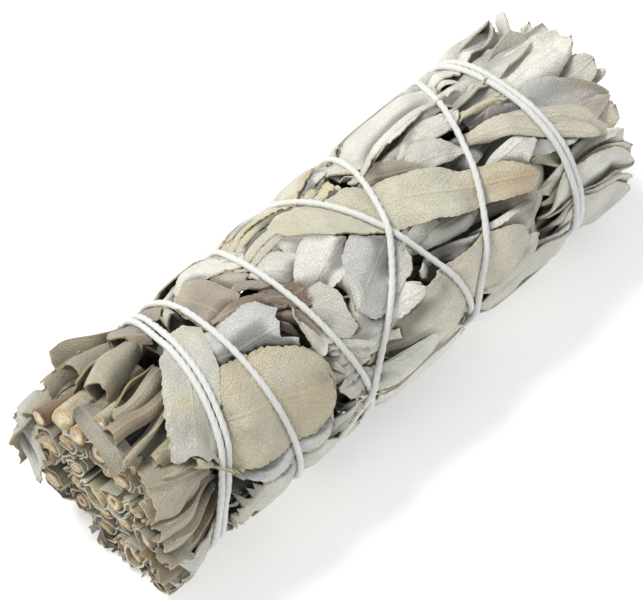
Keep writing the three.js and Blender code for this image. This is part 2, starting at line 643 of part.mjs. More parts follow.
// The largest closed skin of a solid, without its loose scraps and the gaps its leaves close off.
// The ends of edges too short to be made are drawn together.
function outerSkin(solid) {
  const { vertProperties, triVerts } = solid.getMesh();
  const point = (v) => new THREE.Vector3().fromArray(vertProperties, 3 * v);
  let faces = [];
  for (let i = 0; i < triVerts.length; i += 3) faces.push([...triVerts.slice(i, i + 3)]);

  const short = faces.flatMap(([a, b, c]) => [[a, b], [b, c], [c, a]]).filter(
    ([a, b]) => a < b && point(a).distanceTo(point(b)) < leaf.shortest,
  );
  for (const [kept, drawn] of short) {
    const round = (v) => new Set(faces.filter((f) => f.includes(v)).flat());
    const shared = [...round(kept)].filter((v) => round(drawn).has(v) && v !== kept && v !== drawn);
    if (shared.length !== 2 || !round(kept).has(drawn)) continue;
    faces = faces.map((f) => f.map((v) => (v === drawn ? kept : v))).filter((f) => new Set(f).size === 3);
  }

  const linked = Array.from({ length: vertProperties.length / 3 }, (_, i) => i);
  const rootOf = (v) => {
    while (linked[v] !== v) v = linked[v] = linked[linked[v]];
    return v;
  };
  for (const [a, b, c] of faces) for (const v of [b, c]) linked[rootOf(v)] = rootOf(a);
  const skins = [...new Set(faces.map(([v]) => rootOf(v)))].map((root) =>
    faces.filter(([v]) => rootOf(v) === root).flat(),
  );
  const largest = new Uint32Array(skins.sort((a, b) => b.length - a.length)[0]);
  return new wasm.Manifold(new wasm.Mesh({ numProp: 3, vertProperties, triVerts: largest }));
}

// Puts the largest faces of a geometry first.
function largestFirst(geometry) {
  const corners = geometry.index.array;
  const faces = [];
  for (let i = 0; i < corners.length; i += 3) {
    const face = [...corners.slice(i, i + 3)];
    const triangle = new THREE.Triangle().setFromAttributeAndIndices(geometry.attributes.position, ...face);
    faces.push({ face, area: triangle.getArea() });
  }
  faces.sort((a, b) => b.area - a.area);
  return geometry.setIndex(faces.flatMap(({ face }) => face));
}

// ---- Assembly: the bunch is laid down, pressed flat where it rests, and centred
const stringBody = stringSolid();
const axisHeight = -stringBody.boundingBox().min[2] - rest.squash;
const ground = solidFrom(new THREE.BoxGeometry(300, 300, 20).translate(bunch.length / 2, 0, -axisHeight - 10));
const bodies = [
  ...sprigs.map(({ name, parts }) => ({ name, solid: wasm.Manifold.union(parts), colour: sageColour })),
  { name: "string", solid: stringBody, colour: stringColour },
];
for (const body of bodies) body.solid = outerSkin(body.solid.subtract(ground).simplify(leaf.finest));
const boxes = bodies.map(({ solid }) => solid.boundingBox());
const centre = [0, 1].map((k) => {
  const low = Math.min(...boxes.map((box) => box.min[k]));
  const high = Math.max(...boxes.map((box) => box.max[k]));
  return (low + high) / 2;
});

const group = new THREE.Group();
for (const { name, solid, colour } of bodies) {
  const material = new THREE.MeshStandardMaterial({ color: colour, roughness: 0.95, metalness: 0 });
  const geometry = largestFirst(geometryFrom(solid)).translate(-centre[0], -centre[1], axisHeight);
  const mesh = new THREE.Mesh(geometry, material);
  mesh.name = name;
  group.add(mesh);
}

export default group;
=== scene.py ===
import math

import bpy
import numpy as np
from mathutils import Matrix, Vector


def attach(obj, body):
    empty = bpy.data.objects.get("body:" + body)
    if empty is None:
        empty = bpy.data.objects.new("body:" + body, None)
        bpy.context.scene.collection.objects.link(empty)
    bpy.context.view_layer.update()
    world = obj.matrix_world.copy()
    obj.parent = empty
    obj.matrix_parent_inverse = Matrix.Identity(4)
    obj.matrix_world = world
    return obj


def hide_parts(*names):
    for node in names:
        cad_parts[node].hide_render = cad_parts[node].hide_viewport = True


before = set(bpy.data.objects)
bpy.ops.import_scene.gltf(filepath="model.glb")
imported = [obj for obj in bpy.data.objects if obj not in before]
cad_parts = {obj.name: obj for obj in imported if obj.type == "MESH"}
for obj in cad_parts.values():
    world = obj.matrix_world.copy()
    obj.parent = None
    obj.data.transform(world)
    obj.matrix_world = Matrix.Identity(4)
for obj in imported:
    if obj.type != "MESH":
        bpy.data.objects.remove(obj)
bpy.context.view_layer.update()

# A bunch of dried white sage bound with one cotton string.
# Lengths are in millimetres until a mesh is made. "along" runs from the cut stems to the leaf tips,
# "turn" goes round the bunch in degrees from the top towards -Y, and "arc" is that turn in
# millimetres round a bunch of the lay radius.
bunch = {
    "axisHeight": 16.626,
    "middle": (53.066, 0.097),
    "layRadius": 16.5,
    "coreRadius": 11.8,
    "length": 107.5,
    "shoulder": 84,
    # how far the bunch reaches from its axis: along, radius
    "profile": [(-4, 17.0), (6, 17.2), (16, 17.1), (26, 17.1), (36, 16.9), (44, 16.8), (56, 16.9),
                (66, 16.9), (78, 17.4), (90, 17.2), (98, 16.6), (103, 15.4), (107, 13.2), (112, 9.0)],
    "underside": 16.3,
    "reliefShare": 0.62,
    # where it is pressed flat, and how far it stays off the floor
    "flatBelow": 0.7,
    "lowest": 0.12,
    "offFloor": 0.03,
}


def clamp(value, low, high):
    return np.minimum(np.maximum(value, low), high)


def smooth(value):
    value = clamp(value, 0, 1)
    return value * value * (3 - 2 * value)


def unit(vectors):
    return vectors / np.linalg.norm(vectors, axis=-1, keepdims=True)


def arcOf(turn):
    return np.radians(turn) * bunch["layRadius"]


def turnOf(arc):
    return np.degrees(arc / bunch["layRadius"])


def fromEnd(x, y, z):
    # places measured from the cut end on the bunch's axis, brought into the frame
    placed = np.broadcast_arrays(x - bunch["middle"][0], y - bunch["middle"][1], z + bunch["axisHeight"])
    return np.stack(placed, -1)


def toFrame(along, arc, radius):
    turn = arc / bunch["layRadius"]
    placed = fromEnd(along, -radius * np.sin(turn), radius * np.cos(turn))
    # the underside is pressed flat where it rests
    z, soft = placed[..., 2], bunch["flatBelow"] - bunch["lowest"]
    squeezed = bunch["lowest"] + soft * np.exp((z - bunch["flatBelow"]) / soft)
    return np.concatenate([placed[..., :2], np.where(z < bunch["flatBelow"], squeezed, z)[..., None]], -1)


def profileAt(along):
    return np.interp(along, *np.transpose(bunch["profile"]))


def domeShare(along):
    past = clamp((along - bunch["shoulder"]) / (bunch["length"] + 2 - bunch["shoulder"]), 0, 0.985)
    return np.cbrt(1 - past ** 3)


# camera, light and floor: distance and aside in millimetres, lamps in metres as place, size, power, colour
view = {
    "azimuth": -45.2, "elevation": 57, "distance": 550, "lens": 195.5,
    "aim": (53, 0, 0), "aside": (-1.65, -0.31),
}
studio = {
    "worldColour": (0.985, 0.99, 1.0),
    "worldStrength": 0.44,
    "floorColour": (0.97, 0.97, 0.965),
    "floorGlow": 0.30,
    "floorReach": 3,
    "lamps": {
        "keyLamp": ((-0.16, 0.40, 0.70), 0.30, 5.75, (1, 0.985, 0.955)),
        "fillLamp": ((-0.65, -0.25, 0.45), 0.5, 0.9, (0.98, 0.99, 1)),
        "sideLamp": ((0.45, -0.55, 0.55), 0.6, 1.3, (0.98, 0.99, 1)),
    },
}


def showObject(name, data):
    item = bpy.data.objects.new(name, data)
    bpy.context.scene.collection.objects.link(item)
    return item


def makeCamera():
    around, up = math.radians(view["azimuth"]), math.radians(view["elevation"])
    back = Vector((math.sin(around) * math.cos(up), -math.cos(around) * math.cos(up), math.sin(up)))
    right = (-back).cross(Vector((0, 0, 1))).normalized()
    above = right.cross(-back)
    aim = Vector((view["aim"][0] - bunch["middle"][0], -bunch["middle"][1], bunch["axisHeight"]))
    aim += right * view["aside"][0] + above * view["aside"][1]
    data = bpy.data.cameras.new("camera")
    data.lens = view["lens"]
    data.clip_start = 0.01
    camera = showObject("camera", data)
    camera.location = (aim + back * view["distance"]) / 1000
    camera.rotation_euler = back.to_track_quat("Z", "Y").to_euler()
    bpy.context.scene.camera = camera


def makeLamp(name, place, size, power, colour):
    data = bpy.data.lights.new(name, "AREA")
    data.shape = "DISK"
    data.size = size
    data.energy = power
    data.color = colour
    lamp = showObject(name, data)
    lamp.location = place
    lamp.rotation_euler = Vector(place).to_track_quat("Z", "Y").to_euler()


def makeStudio():
    world = bpy.data.worlds.new("studio")
    bpy.context.scene.world = world
    world.use_nodes = True
    background = world.node_tree.nodes["Background"]
    background.inputs["Color"].default_value = (*studio["worldColour"], 1)
    background.inputs["Strength"].default_value = studio["worldStrength"]
    for name, settings in studio["lamps"].items():
        makeLamp(name, *settings)
    floorMesh = bpy.data.meshes.new("floor")
    far = studio["floorReach"]
    corners = [(-far, -far, 0), (far, -far, 0), (far, far, 0), (-far, far, 0)]
    floorMesh.from_pydata(corners, [], [(0, 1, 2, 3)])
    material = bpy.data.materials.new("paleFloor")
    material.use_nodes = True
    shader = material.node_tree.nodes["Principled BSDF"]
    shader.inputs["Base Color"].default_value = (*studio["floorColour"], 1)
    shader.inputs["Roughness"].default_value = 0.9
    shader.inputs["Emission Color"].default_value = (1, 1, 1, 1)
    shader.inputs["Emission Strength"].default_value = studio["floorGlow"]
    floorMesh.materials.append(material)
    showObject("floor", floorMesh)
    bpy.context.scene.view_settings.view_transform = "Standard"


makeCamera()
makeStudio()
print("camera and studio ready")


# finishes
def addNode(tree, kind, x, y, values=None, **settings):
    node = tree.nodes.new(kind)
    node.location = (x, y)
    for name, value in settings.items():
        setattr(node, name, value)
    for key, value in (values or {}).items():
        node.inputs[key].default_value = value
    return node


def startGroup(name, inputs, outputs):
    group = bpy.data.node_groups.new(name, "ShaderNodeTree")
    for title, kind, value in inputs:
        socket = group.interface.new_socket(title, in_out="INPUT", socket_type="NodeSocket" + kind)
        if value is not None:
            socket.default_value = value
    for title in outputs:
        group.interface.new_socket(title, in_out="OUTPUT", socket_type="NodeSocketFloat")
    return group, group.nodes.new("NodeGroupInput"), group.nodes.new("NodeGroupOutput")


def setOrLink(tree, socket, value):
    if isinstance(value, bpy.types.NodeSocket):
        tree.links.new(value, socket)
    else:
        socket.default_value = (*value, 1) if isinstance(value, tuple) else value


def mathNode(tree, operation, x, y, *values):
    node = addNode(tree, "ShaderNodeMath", x, y, operation=operation)
    for socket, value in zip(node.inputs, values):
        setOrLink(tree, socket, value)
    return node.outputs[0]


def mapRange(tree, x, y, value, given, wanted, kind="LINEAR"):
    limits = {"From Min": given[0], "From Max": given[1], "To Min": wanted[0], "To Max": wanted[1]}
    node = addNode(tree, "ShaderNodeMapRange", x, y, limits, interpolation_type=kind)
    tree.links.new(value, node.inputs["Value"])
    return node.outputs[0]


def mixColour(tree, x, y, share, first, second, kind="MIX"):
    node = addNode(tree, "ShaderNodeMix", x, y, data_type="RGBA", blend_type=kind)
    for key, value in ((0, share), (6, first), (7, second)):
        setOrLink(tree, node.inputs[key], value)
    return node.outputs[2]


def shadeColour(tree, x, y, colour, tone):
    grey = addNode(tree, "ShaderNodeCombineColor", x, y)
    for socket in grey.inputs:
        tree.links.new(tone, socket)
    return mixColour(tree, x + 200, y + 400, 1.0, colour, grey.outputs[0], "MULTIPLY")


def makeVeinGroup():
    # midrib, side veins and fine net of a sage leaf, from its own coordinates in millimetres
    tree, given, result = startGroup(
        "leafVeins",
        [("Leaf Place", "Vector", None), ("Side Vein Spacing", "Float", 2.6), ("Net Scale", "Float", 2.1)],
        ["Veins", "Net"],
    )
    link = tree.links.new
    split = addNode(tree, "ShaderNodeSeparateXYZ", -900, 100)
    wobble = addNode(tree, "ShaderNodeTexNoise", -1100, -100, {"Scale": 0.45, "Detail": 2.0})
    cells = addNode(tree, "ShaderNodeTexVoronoi", -500, -350, feature="DISTANCE_TO_EDGE")
    link(given.outputs["Leaf Place"], wobble.inputs["Vector"])
    link(given.outputs["Leaf Place"], split.inputs[0])
    link(given.outputs["Leaf Place"], cells.inputs["Vector"])
    link(given.outputs["Net Scale"], cells.inputs["Scale"])
    across = mathNode(tree, "ABSOLUTE", -700, 0, split.outputs[1])
    drift = mathNode(tree, "MULTIPLY", -900, -150, wobble.outputs["Fac"], 2.4)
    slant = mathNode(tree, "MULTIPLY_ADD", -550, 100, across, -0.95, split.outputs[0])
    slant = mathNode(tree, "ADD", -400, 100, slant, drift)
    step = mathNode(tree, "DIVIDE", -250, 100, slant, given.outputs["Side Vein Spacing"])
    wave = mathNode(tree, "PINGPONG", -100, 100, step, 0.5)
    side = mapRange(tree, 50, 100, wave, (0.0, 0.075), (1.0, 0.0), "SMOOTHSTEP")
    rib = mapRange(tree, 50, -100, across, (0.05, 0.34), (1.0, 0.0), "SMOOTHSTEP")
    net = mapRange(tree, -250, -350, cells.outputs["Distance"], (0.0, 0.16), (1.0, 0.0), "SMOOTHSTEP")
    faded = mathNode(tree, "MULTIPLY", 220, 100, side, 0.55)
    link(mathNode(tree, "MAXIMUM", 380, 0, faded, rib), result.inputs["Veins"])
    link(net, result.inputs["Net"])
    return tree


def makeFeltGroup():
    # short matted hairs and faint blotches, the same on every dry surface
    tree, given, result = startGroup(
        "driedFelt",
        [("Place", "Vector", None), ("Hair Scale", "Float", 3.2), ("Blotch Scale", "Float", 0.22)],
        ["Hair", "Blotch"],
    )
    for name, roughness, y in (("Hair", 0.65, 100), ("Blotch", 0.55, -150)):
        noise = addNode(tree, "ShaderNodeTexNoise", -300, y, {"Detail": 3.0, "Roughness": roughness})
        tree.links.new(given.outputs["Place"], noise.inputs["Vector"])
        tree.links.new(given.outputs[name + " Scale"], noise.inputs["Scale"])
        tree.links.new(noise.outputs["Fac"], result.inputs[name])
    return tree


veinGroup = makeVeinGroup()
feltGroup = makeFeltGroup()


def startMaterial(name, roughness, sheen):
    material = bpy.data.materials.new(name)
    material.use_nodes = True
    tree = material.node_tree
    shader = tree.nodes["Principled BSDF"]
    shader.location = (900, 100)
    shader.inputs["Roughness"].default_value = roughness
    shader.inputs["Specular IOR Level"].default_value = 0.25
    shader.inputs["Sheen Weight"].default_value = sheen
    shader.inputs["Sheen Roughness"].default_value = 0.55
    # coordinates in millimetres on the object itself
    where = addNode(tree, "ShaderNodeTexCoord", -1300, -300)
    scaled = addNode(tree, "ShaderNodeVectorMath", -1100, -300, {"Scale": 1000}, operation="SCALE")
    tree.links.new(where.outputs["Object"], scaled.inputs[0])
    return material, tree, shader, scaled.outputs[0]


def placeGroup(tree, group, x, y, values=None):
    return addNode(tree, "ShaderNodeGroup", x, y, values, node_tree=group)


def ownPlace(tree, stretch):
    # a leaf's or the string's own coordinates, stretched
    where = addNode(tree, "ShaderNodeUVMap", -1300, 0, uv_map="leafPlace")
    stretched = addNode(tree, "ShaderNodeMapping", -1100, 0, {"Scale": stretch})
    tree.links.new(where.outputs[0], stretched.inputs["Vector"])
    return stretched.outputs[0]


def finishMaterial(tree, shader, colour, height, strength, distance):
    bump = addNode(tree, "ShaderNodeBump", 650, -300, {"Strength": strength, "Distance": distance})
    tree.links.new(height, bump.inputs["Height"])
    tree.links.new(bump.outputs[0], shader.inputs["Normal"])
    tree.links.new(colour, shader.inputs["Base Color"])


def makeLeafMaterial():
    material, tree, shader, place = startMaterial("driedSageLeaf", 0.92, 0.35)
    shader.inputs["Sheen Tint"].default_value = (0.95, 0.96, 0.93, 1)
    tint = addNode(tree, "ShaderNodeAttribute", -800, 400, attribute_name="tint")
    veins = placeGroup(tree, veinGroup, -800, 0)
    tree.links.new(ownPlace(tree, (100, 100, 100)), veins.inputs["Leaf Place"])
    felt = placeGroup(tree, feltGroup, -800, -300)
    tree.links.new(place, felt.inputs["Place"])
    # blotches, then paler veins and darker pits of the net
    blotch = mapRange(tree, -550, -300, felt.outputs["Blotch"], (0.3, 0.7), (0.86, 1.08))
    hair = mapRange(tree, -550, -550, felt.outputs["Hair"], (0.3, 0.7), (0.9, 1.07))
    tone = mathNode(tree, "MULTIPLY", -350, -300, blotch, hair)
    netShade = mathNode(tree, "MULTIPLY_ADD", -550, 0, veins.outputs["Net"], -0.14, 1.04)
    tone = mathNode(tree, "MULTIPLY", -200, -200, tone, netShade)
    colour = shadeColour(tree, -50, -200, tint.outputs["Color"], tone)
    veinShare = mathNode(tree, "MULTIPLY", 100, 50, veins.outputs["Veins"], 0.14)
    colour = mixColour(tree, 350, 300, veinShare, colour, (0.66, 0.62, 0.50))
    height = mathNode(tree, "MULTIPLY", 100, -400, veins.outputs["Net"], -0.34)
    height = mathNode(tree, "MULTIPLY_ADD", 250, -400, veins.outputs["Veins"], 0.7, height)
    height = mathNode(tree, "MULTIPLY_ADD", 400, -400, felt.outputs["Hair"], 0.8, height)
    finishMaterial(tree, shader, colour, height, 0.75, 0.0002)
    return material


def makeStemMaterial():
    material, tree, shader, place = startMaterial("cutSageStem", 0.85, 0.1)
    tint = addNode(tree, "ShaderNodeAttribute", -800, 400, attribute_name="tint")
    felt = placeGroup(tree, feltGroup, -800, -100, {"Hair Scale": 4.0, "Blotch Scale": 0.8})
    squeezed = addNode(tree, "ShaderNodeMapping", -1000, -100, {"Scale": (0.25, 1, 1)})
    tree.links.new(place, squeezed.inputs["Vector"])
    tree.links.new(squeezed.outputs[0], felt.inputs["Place"])
    shade = mapRange(tree, -500, -100, felt.outputs["Hair"], (0.3, 0.7), (0.7, 1.2))
    colour = shadeColour(tree, -250, -100, tint.outputs["Color"], shade)
    finishMaterial(tree, shader, colour, felt.outputs["Hair"], 0.6, 0.00015)
    return material


def makeStringMaterial():
    material, tree, shader, place = startMaterial("cottonString", 0.8, 0.3)
    fibre = addNode(tree, "ShaderNodeTexNoise", -850, 0, {"Scale": 1.0, "Detail": 4.0, "Roughness": 0.6})
    tree.links.new(ownPlace(tree, (140, 900, 1)), fibre.inputs["Vector"])
    felt = placeGroup(tree, feltGroup, -850, -300, {"Hair Scale": 6.0, "Blotch Scale": 0.3})
    tree.links.new(place, felt.inputs["Place"])
    shade = mapRange(tree, -550, 0, fibre.outputs["Fac"], (0.3, 0.7), (0.86, 1.04))
    colour = shadeColour(tree, -300, 0, (0.74, 0.745, 0.72), shade)
    height = mathNode(tree, "ADD", 100, -300, fibre.outputs["Fac"], felt.outputs["Hair"])
    finishMaterial(tree, shader, colour, height, 0.5, 0.00008)
    return material


leafMaterial = makeLeafMaterial()
stemMaterial = makeStemMaterial()
stringMaterial = makeStringMaterial()
print("finishes ready")

# colours in linear light
palette = {
    "grey": (0.63, 0.62, 0.555),
    "light": (0.74, 0.73, 0.665),
    "blue": (0.57, 0.575, 0.55),
    "lilac": (0.59, 0.59, 0.57),
    "beige": (0.63, 0.59, 0.48),
    "green": (0.57, 0.57, 0.44),
    "yellow": (0.615, 0.59, 0.465),
    "ochre": (0.565, 0.51, 0.375),
    "taupe": (0.37, 0.32, 0.26),
    "brown": (0.25, 0.185, 0.14),
    # painted shade: near black, for the packed core between the leaves
    "dark": (0.075, 0.062, 0.05),
    "stalk": (0.60, 0.55, 0.37),
    "tan": (0.50, 0.38, 0.23),
    "rust": (0.56, 0.33, 0.12),
}
palette = {name: np.array(colour) for name, colour in palette.items()}


def blend(colour, share, name, strength=1.0):
    share = np.asarray(share)[..., None]
    return colour * (1 - share) + palette[name] * strength * share


def anyOf(random, names):
    return names[random.integers(len(names))]


class Gathered:
    # a piece in the making: grids of points, one for each side or edge of a leaf, stem or sheet
    def __init__(self):
        self.points, self.tints, self.places, self.faces, self.materials = [], [], [], [], []
        self.count = 0

    def addGrid(self, points, tint, place, closed=False, slot=0):
        # points: rows x columns x 3, in millimetres in the frame
        rows, columns = points.shape[:2]
        index = self.count + np.arange(rows * columns).reshape(rows, columns)
        if closed:
            index = np.concatenate([index, index[:, :1]], 1)
        corners = [index[:-1, :-1], index[:-1, 1:], index[1:, 1:], index[1:, :-1]]
        quads = np.stack(corners, -1).reshape(-1, 4)
        self.points.append(points.reshape(-1, 3))
        self.tints.append(np.broadcast_to(tint, points.shape).reshape(-1, 3))
        self.places.append(np.broadcast_to(place, (rows, columns, 2)).reshape(-1, 2))
        self.faces.append(quads)
        self.materials.append(np.full(len(quads), slot))
        self.count += rows * columns

    def build(self, name, materials):
        points = np.concatenate(self.points) / 1000
        points[:, 2] = np.maximum(points[:, 2], bunch["offFloor"] / 1000)
        faces = np.concatenate(self.faces)
        mesh = bpy.data.meshes.new(name)
        mesh.vertices.add(len(points))
        mesh.vertices.foreach_set("co", points.astype(np.float32).ravel())
        mesh.loops.add(faces.size)
        mesh.loops.foreach_set("vertex_index", faces.astype(np.int32).ravel())
        mesh.polygons.add(len(faces))
        mesh.polygons.foreach_set("loop_start", np.arange(0, faces.size, 4, dtype=np.int32))
        mesh.polygons.foreach_set("material_index", np.concatenate(self.materials).astype(np.int32))
        tint = mesh.attributes.new("tint", "FLOAT_COLOR", "POINT")
        colours = np.concatenate([np.concatenate(self.tints), np.ones((len(points), 1))], 1)
        tint.data.foreach_set("color", colours.astype(np.float32).ravel())
        layer = mesh.uv_layers.new(name="leafPlace")
        places = np.concatenate(self.places)[faces.ravel()]
        layer.data.foreach_set("uv", places.astype(np.float32).ravel())
        for material in materials:
            mesh.materials.append(material)
        mesh.update(calc_edges=True)
        mesh.validate()
        mesh.shade_smooth()
        return showObject(name, mesh)


def addSheet(gathered, middle, thickness, tint, rimTint, place):
    # a thin closed sheet about a grid of middle points, with crisp edges
    normal = np.cross(np.gradient(middle, axis=1), np.gradient(middle, axis=0))
    normal /= np.maximum(np.linalg.norm(normal, axis=-1, keepdims=True), 1e-9)
    upper, under = middle + normal * (thickness / 2), middle - normal * (thickness / 2)
    gathered.addGrid(upper, tint, place)
    gathered.addGrid(under[:, ::-1], np.broadcast_to(tint, middle.shape)[:, ::-1] * 0.97, place[:, ::-1])
    edges = ((np.s_[:, 0], True), (np.s_[:, -1], False), (np.s_[0, :], False), (np.s_[-1, :], True))
    for edge, turnedOver in edges:
        strip = np.stack([upper[edge], under[edge]], 0)
        rim = np.broadcast_to(rimTint, middle.shape)[edge]
        gathered.addGrid(strip[::-1] if turnedOver else strip, np.stack([rim, rim], 0),
                         np.stack([place[edge], place[edge]], 0))


# the surface map: how high the bunch stands so far, over along and arc
surface = {"cell": 0.4, "start": -6.0, "columns": 300, "round": 2 * math.pi * bunch["layRadius"]}
surface["rows"] = int(round(surface["round"] / surface["cell"]))
alongCells = surface["start"] + (np.arange(surface["columns"]) + 0.5) * surface["cell"]
arcCells = (np.arange(surface["rows"]) + 0.5) * surface["round"] / surface["rows"]
mapAlong, mapArc = np.meshgrid(alongCells, arcCells, indexing="ij")

dips = [  # along, turn, depth, spread
    (82, 2, 3, 13), (97, 32, 1.5, 12), (12, 66, 1.6, 14), (36, 8, 1.4, 10), (66, -46, 1.2, 10),
    (32, -50, 1.0, 12), (22, 38, 1.0, 10), (48, 136, 0.8, 16), (76, 180, 1.2, 14), (32, 186, 1, 14),
]


def wrapped(gap):
    # an arc's length the short way round
    return np.mod(gap + surface["round"] / 2, surface["round"]) - surface["round"] / 2


def fromBottom(arc):
    return np.abs(np.mod(arc, surface["round"]) - surface["round"] / 2) / bunch["layRadius"]


def bedAt(along, arc):
    radius = np.full(np.shape(along), bunch["coreRadius"], float)
    for middle, turn, depth, spread in dips:
        gap = (along - middle) ** 2 + wrapped(arc - arcOf(turn)) ** 2
        radius = radius - depth * np.exp(-gap / spread ** 2)
    return radius * domeShare(along) * (1 - 0.13 * smooth((24 - along) / 12))


height = bedAt(mapAlong, mapArc)


def sampleMap(field, along, arc):
    u = clamp((along - surface["start"]) / surface["cell"] - 0.5, 0, surface["columns"] - 1.001)
    v = np.mod(arc / surface["round"] * surface["rows"] - 0.5, surface["rows"])
    i, j = u.astype(int), v.astype(int)
    fu, fv = u - i, v - j
    after = (j + 1) % surface["rows"]
    j = j % surface["rows"]
    top = field[i, j] * (1 - fv) + field[i, after] * fv
    bottom = field[i + 1, j] * (1 - fv) + field[i + 1, after] * fv
    return top * (1 - fu) + bottom * fu


def refine(field):
    wide = np.empty((field.shape[0], field.shape[1] * 2 - 1))
    wide[:, ::2] = field
    wide[:, 1::2] = (field[:, 1:] + field[:, :-1]) / 2
    tall = np.empty((wide.shape[0] * 2 - 1, wide.shape[1]))
    tall[::2] = wide
    tall[1::2] = (wide[1:] + wide[:-1]) / 2
    return tall


def raiseMap(along, arc, radius):
    # finer points than the cells, so that no cell between them is missed
    along, arc, radius = refine(along), refine(arc), refine(radius)
    i = clamp(((along - surface["start"]) / surface["cell"]).astype(int), 0, surface["columns"] - 1)
    j = np.mod(np.floor(arc / surface["round"] * surface["rows"]).astype(int), surface["rows"])
    np.maximum.at(height, (i.ravel(), j.ravel()), radius.ravel())


def soften(field, passes, wrap=False):
    for _ in range(passes):
        padded = np.pad(field, ((1, 1), (0, 0)), "edge")
        field = 0.25 * padded[:-2] + 0.5 * padded[1:-1] + 0.25 * padded[2:]
        padded = np.pad(field, ((0, 0), (1, 1)), "wrap" if wrap else "edge")
        field = 0.25 * padded[:, :-2] + 0.5 * padded[:, 1:-1] + 0.25 * padded[:, 2:]
    return field


def cellsNear(along, arc, reach):
    # the cells within reach of a place: their slice, their rows, and their distances
    span = int(reach / surface["cell"])
    i = int((along - surface["start"]) / surface["cell"])
    low, high = max(0, i - span), min(surface["columns"], i + span)
    j = int(np.floor(arc / surface["round"] * surface["rows"]))
    rows = np.arange(j - span, j + span + 1) % surface["rows"]
    distance = np.sqrt((alongCells[low:high, None] - along) ** 2 + wrapped(arcCells[rows] - arc)[None] ** 2)
    return slice(low, high), rows, distance


# the string, with its route as (degrees turned round the bunch, along)
string = {
    "diameter": 1.08, "pitch": 4.6, "strands": 3, "step": 0.4, "sides": 16,
    "body": 0.76, "strandRise": 0.26, "lowest": 0.62, "knot": 0.62, "tail": 7,
    "nearReach": 12, "farOff": 3e4,
    # how it lies: steps it is evened over, share of the leaves' height, room below and above the profile
    "evenedOver": 25, "leafShare": 0.35, "below": 0.7, "above": 0.45, "underside": 0.8,
    # where it crosses itself: steps that don't count, rise over the other stretch, passes to pull it taut
    "apart": 50, "crossing": 0.94, "pulls": 400,
    # how it holds the leaves: reach, depth, and the slope beside it
    "holdReach": 7, "bite": 0.40, "holdWidth": 0.45, "slope": 0.55, "slopePower": 1.25,
}
route = [
    (-140, 13), (-100, 20), (-60, 23.5), (-15, 21.6), (15, 19.8), (40, 17.4), (65, 14.4),
    (85, 12.2), (130, 11), (180, 12.5), (235, 18), (300, 24.7), (345, 22.8), (375, 21.05),
    (400, 18.7), (425, 15.8), (445, 13.4), (490, 14), (540, 19.5), (600, 26), (660, 28),
    (720, 28), (765, 28), (810, 28.4), (850, 30), (900, 34), (960, 39.5), (1020, 41.6),
    (1050, 40.6), (1080, 40.6), (1120, 42), (1155, 43.8), (1200, 45.5), (1260, 47.5), (1330, 51),
    (1398, 54.5), (1425, 57), (1453, 60), (1480, 63), (1505, 65.6), (1530, 67), (1570, 70),
    (1630, 78), (1690, 86.5), (1740, 91), (1800, 92), (1845, 92.3), (1890, 91.4), (1935, 90.8),
    (1990, 91), (2050, 91.8), (2100, 92.5), (2160, 93.1), (2205, 93.42), (2250, 92.55), (2310, 92),
    (2370, 91.2), (2420, 89.8), (2460, 87.8), (2480, 85.4), (2520, 81), (2550, 77), (2575, 72.8),
    (2596, 68.8), (2630, 66.4), (2700, 66.8), (2770, 67.2), (2835, 66), (2865, 64), (2893, 60.6),
    (2915, 56), (2935, 50.6), (2955, 45.4), (2985, 38.5), (3030, 29), (3070, 20.5), (3094, 15),
]


def curveThrough(points, step):
    # a smooth line through points, with even steps
    points = np.asarray(points, float)
    padded = np.vstack([2 * points[0] - points[1], points, 2 * points[-1] - points[-2]])
    found = []
    for p0, p1, p2, p3 in zip(padded, padded[1:], padded[2:], padded[3:]):
        d0, d1, d2 = (max(math.sqrt(np.linalg.norm(b - a)), 1e-4) for a, b in ((p0, p1), (p1, p2), (p2, p3)))
        m1 = ((p1 - p0) / d0 - (p2 - p0) / (d0 + d1) + (p2 - p1) / d1) * d1
        m2 = ((p2 - p1) / d1 - (p3 - p1) / (d1 + d2) + (p3 - p2) / d2) * d1
        t = np.linspace(0, 1, 40, endpoint=False)[:, None]
        found.append((2 * t ** 3 - 3 * t ** 2 + 1) * p1 + (t ** 3 - 2 * t ** 2 + t) * m1
                     + (-2 * t ** 3 + 3 * t ** 2) * p2 + (t ** 3 - t ** 2) * m2)
    line = np.vstack(found + [points[-1:]])
    gone = lengthAlong(line)
    even = np.linspace(0, gone[-1], int(gone[-1] / step) + 1)
    return np.stack([np.interp(even, gone, line[:, k]) for k in range(points.shape[1])], -1)


def lengthAlong(line):
    return np.concatenate([[0], np.cumsum(np.linalg.norm(np.diff(line, axis=0), axis=1))])


routeLine = curveThrough([(along, arcOf(turned)) for turned, along in route], string["step"])


def distanceToString():
    # for each cell of the map, how far the nearest string passes
    nearest = np.full(height.shape, string["farOff"])
    for along, arc in routeLine[::3]:
        cells, rows, distance = cellsNear(along, arc, string["nearReach"])
        nearest[cells, rows] = np.minimum(nearest[cells, rows], distance)
    return nearest


stringDistance = distanceToString()
print("string route %.0f mm" % (len(routeLine) * string["step"]))

# leaves
leafLook = {
    "thickness": 0.27, "clearance": 0.06, "rowPitch": 0.5, "columnPitch": 0.46, "toothPitch": 1.25,
    "rootSink": 0.8, "stringReach": 3.4, "waver": 0.16, "raisedAtString": 0.35, "rim": (0.86, 0.80, 0.70),
    # gapShade, and its weaker share for yellow and ochre leaves: painted shade where a blade lies low
    "green": 0.35, "margin": 0.24, "marginWidth": 0.28, "gapShade": 0.62, "weakGapShade": 0.2,
}
laid = []  # every leaf, as its grid of places with a tint


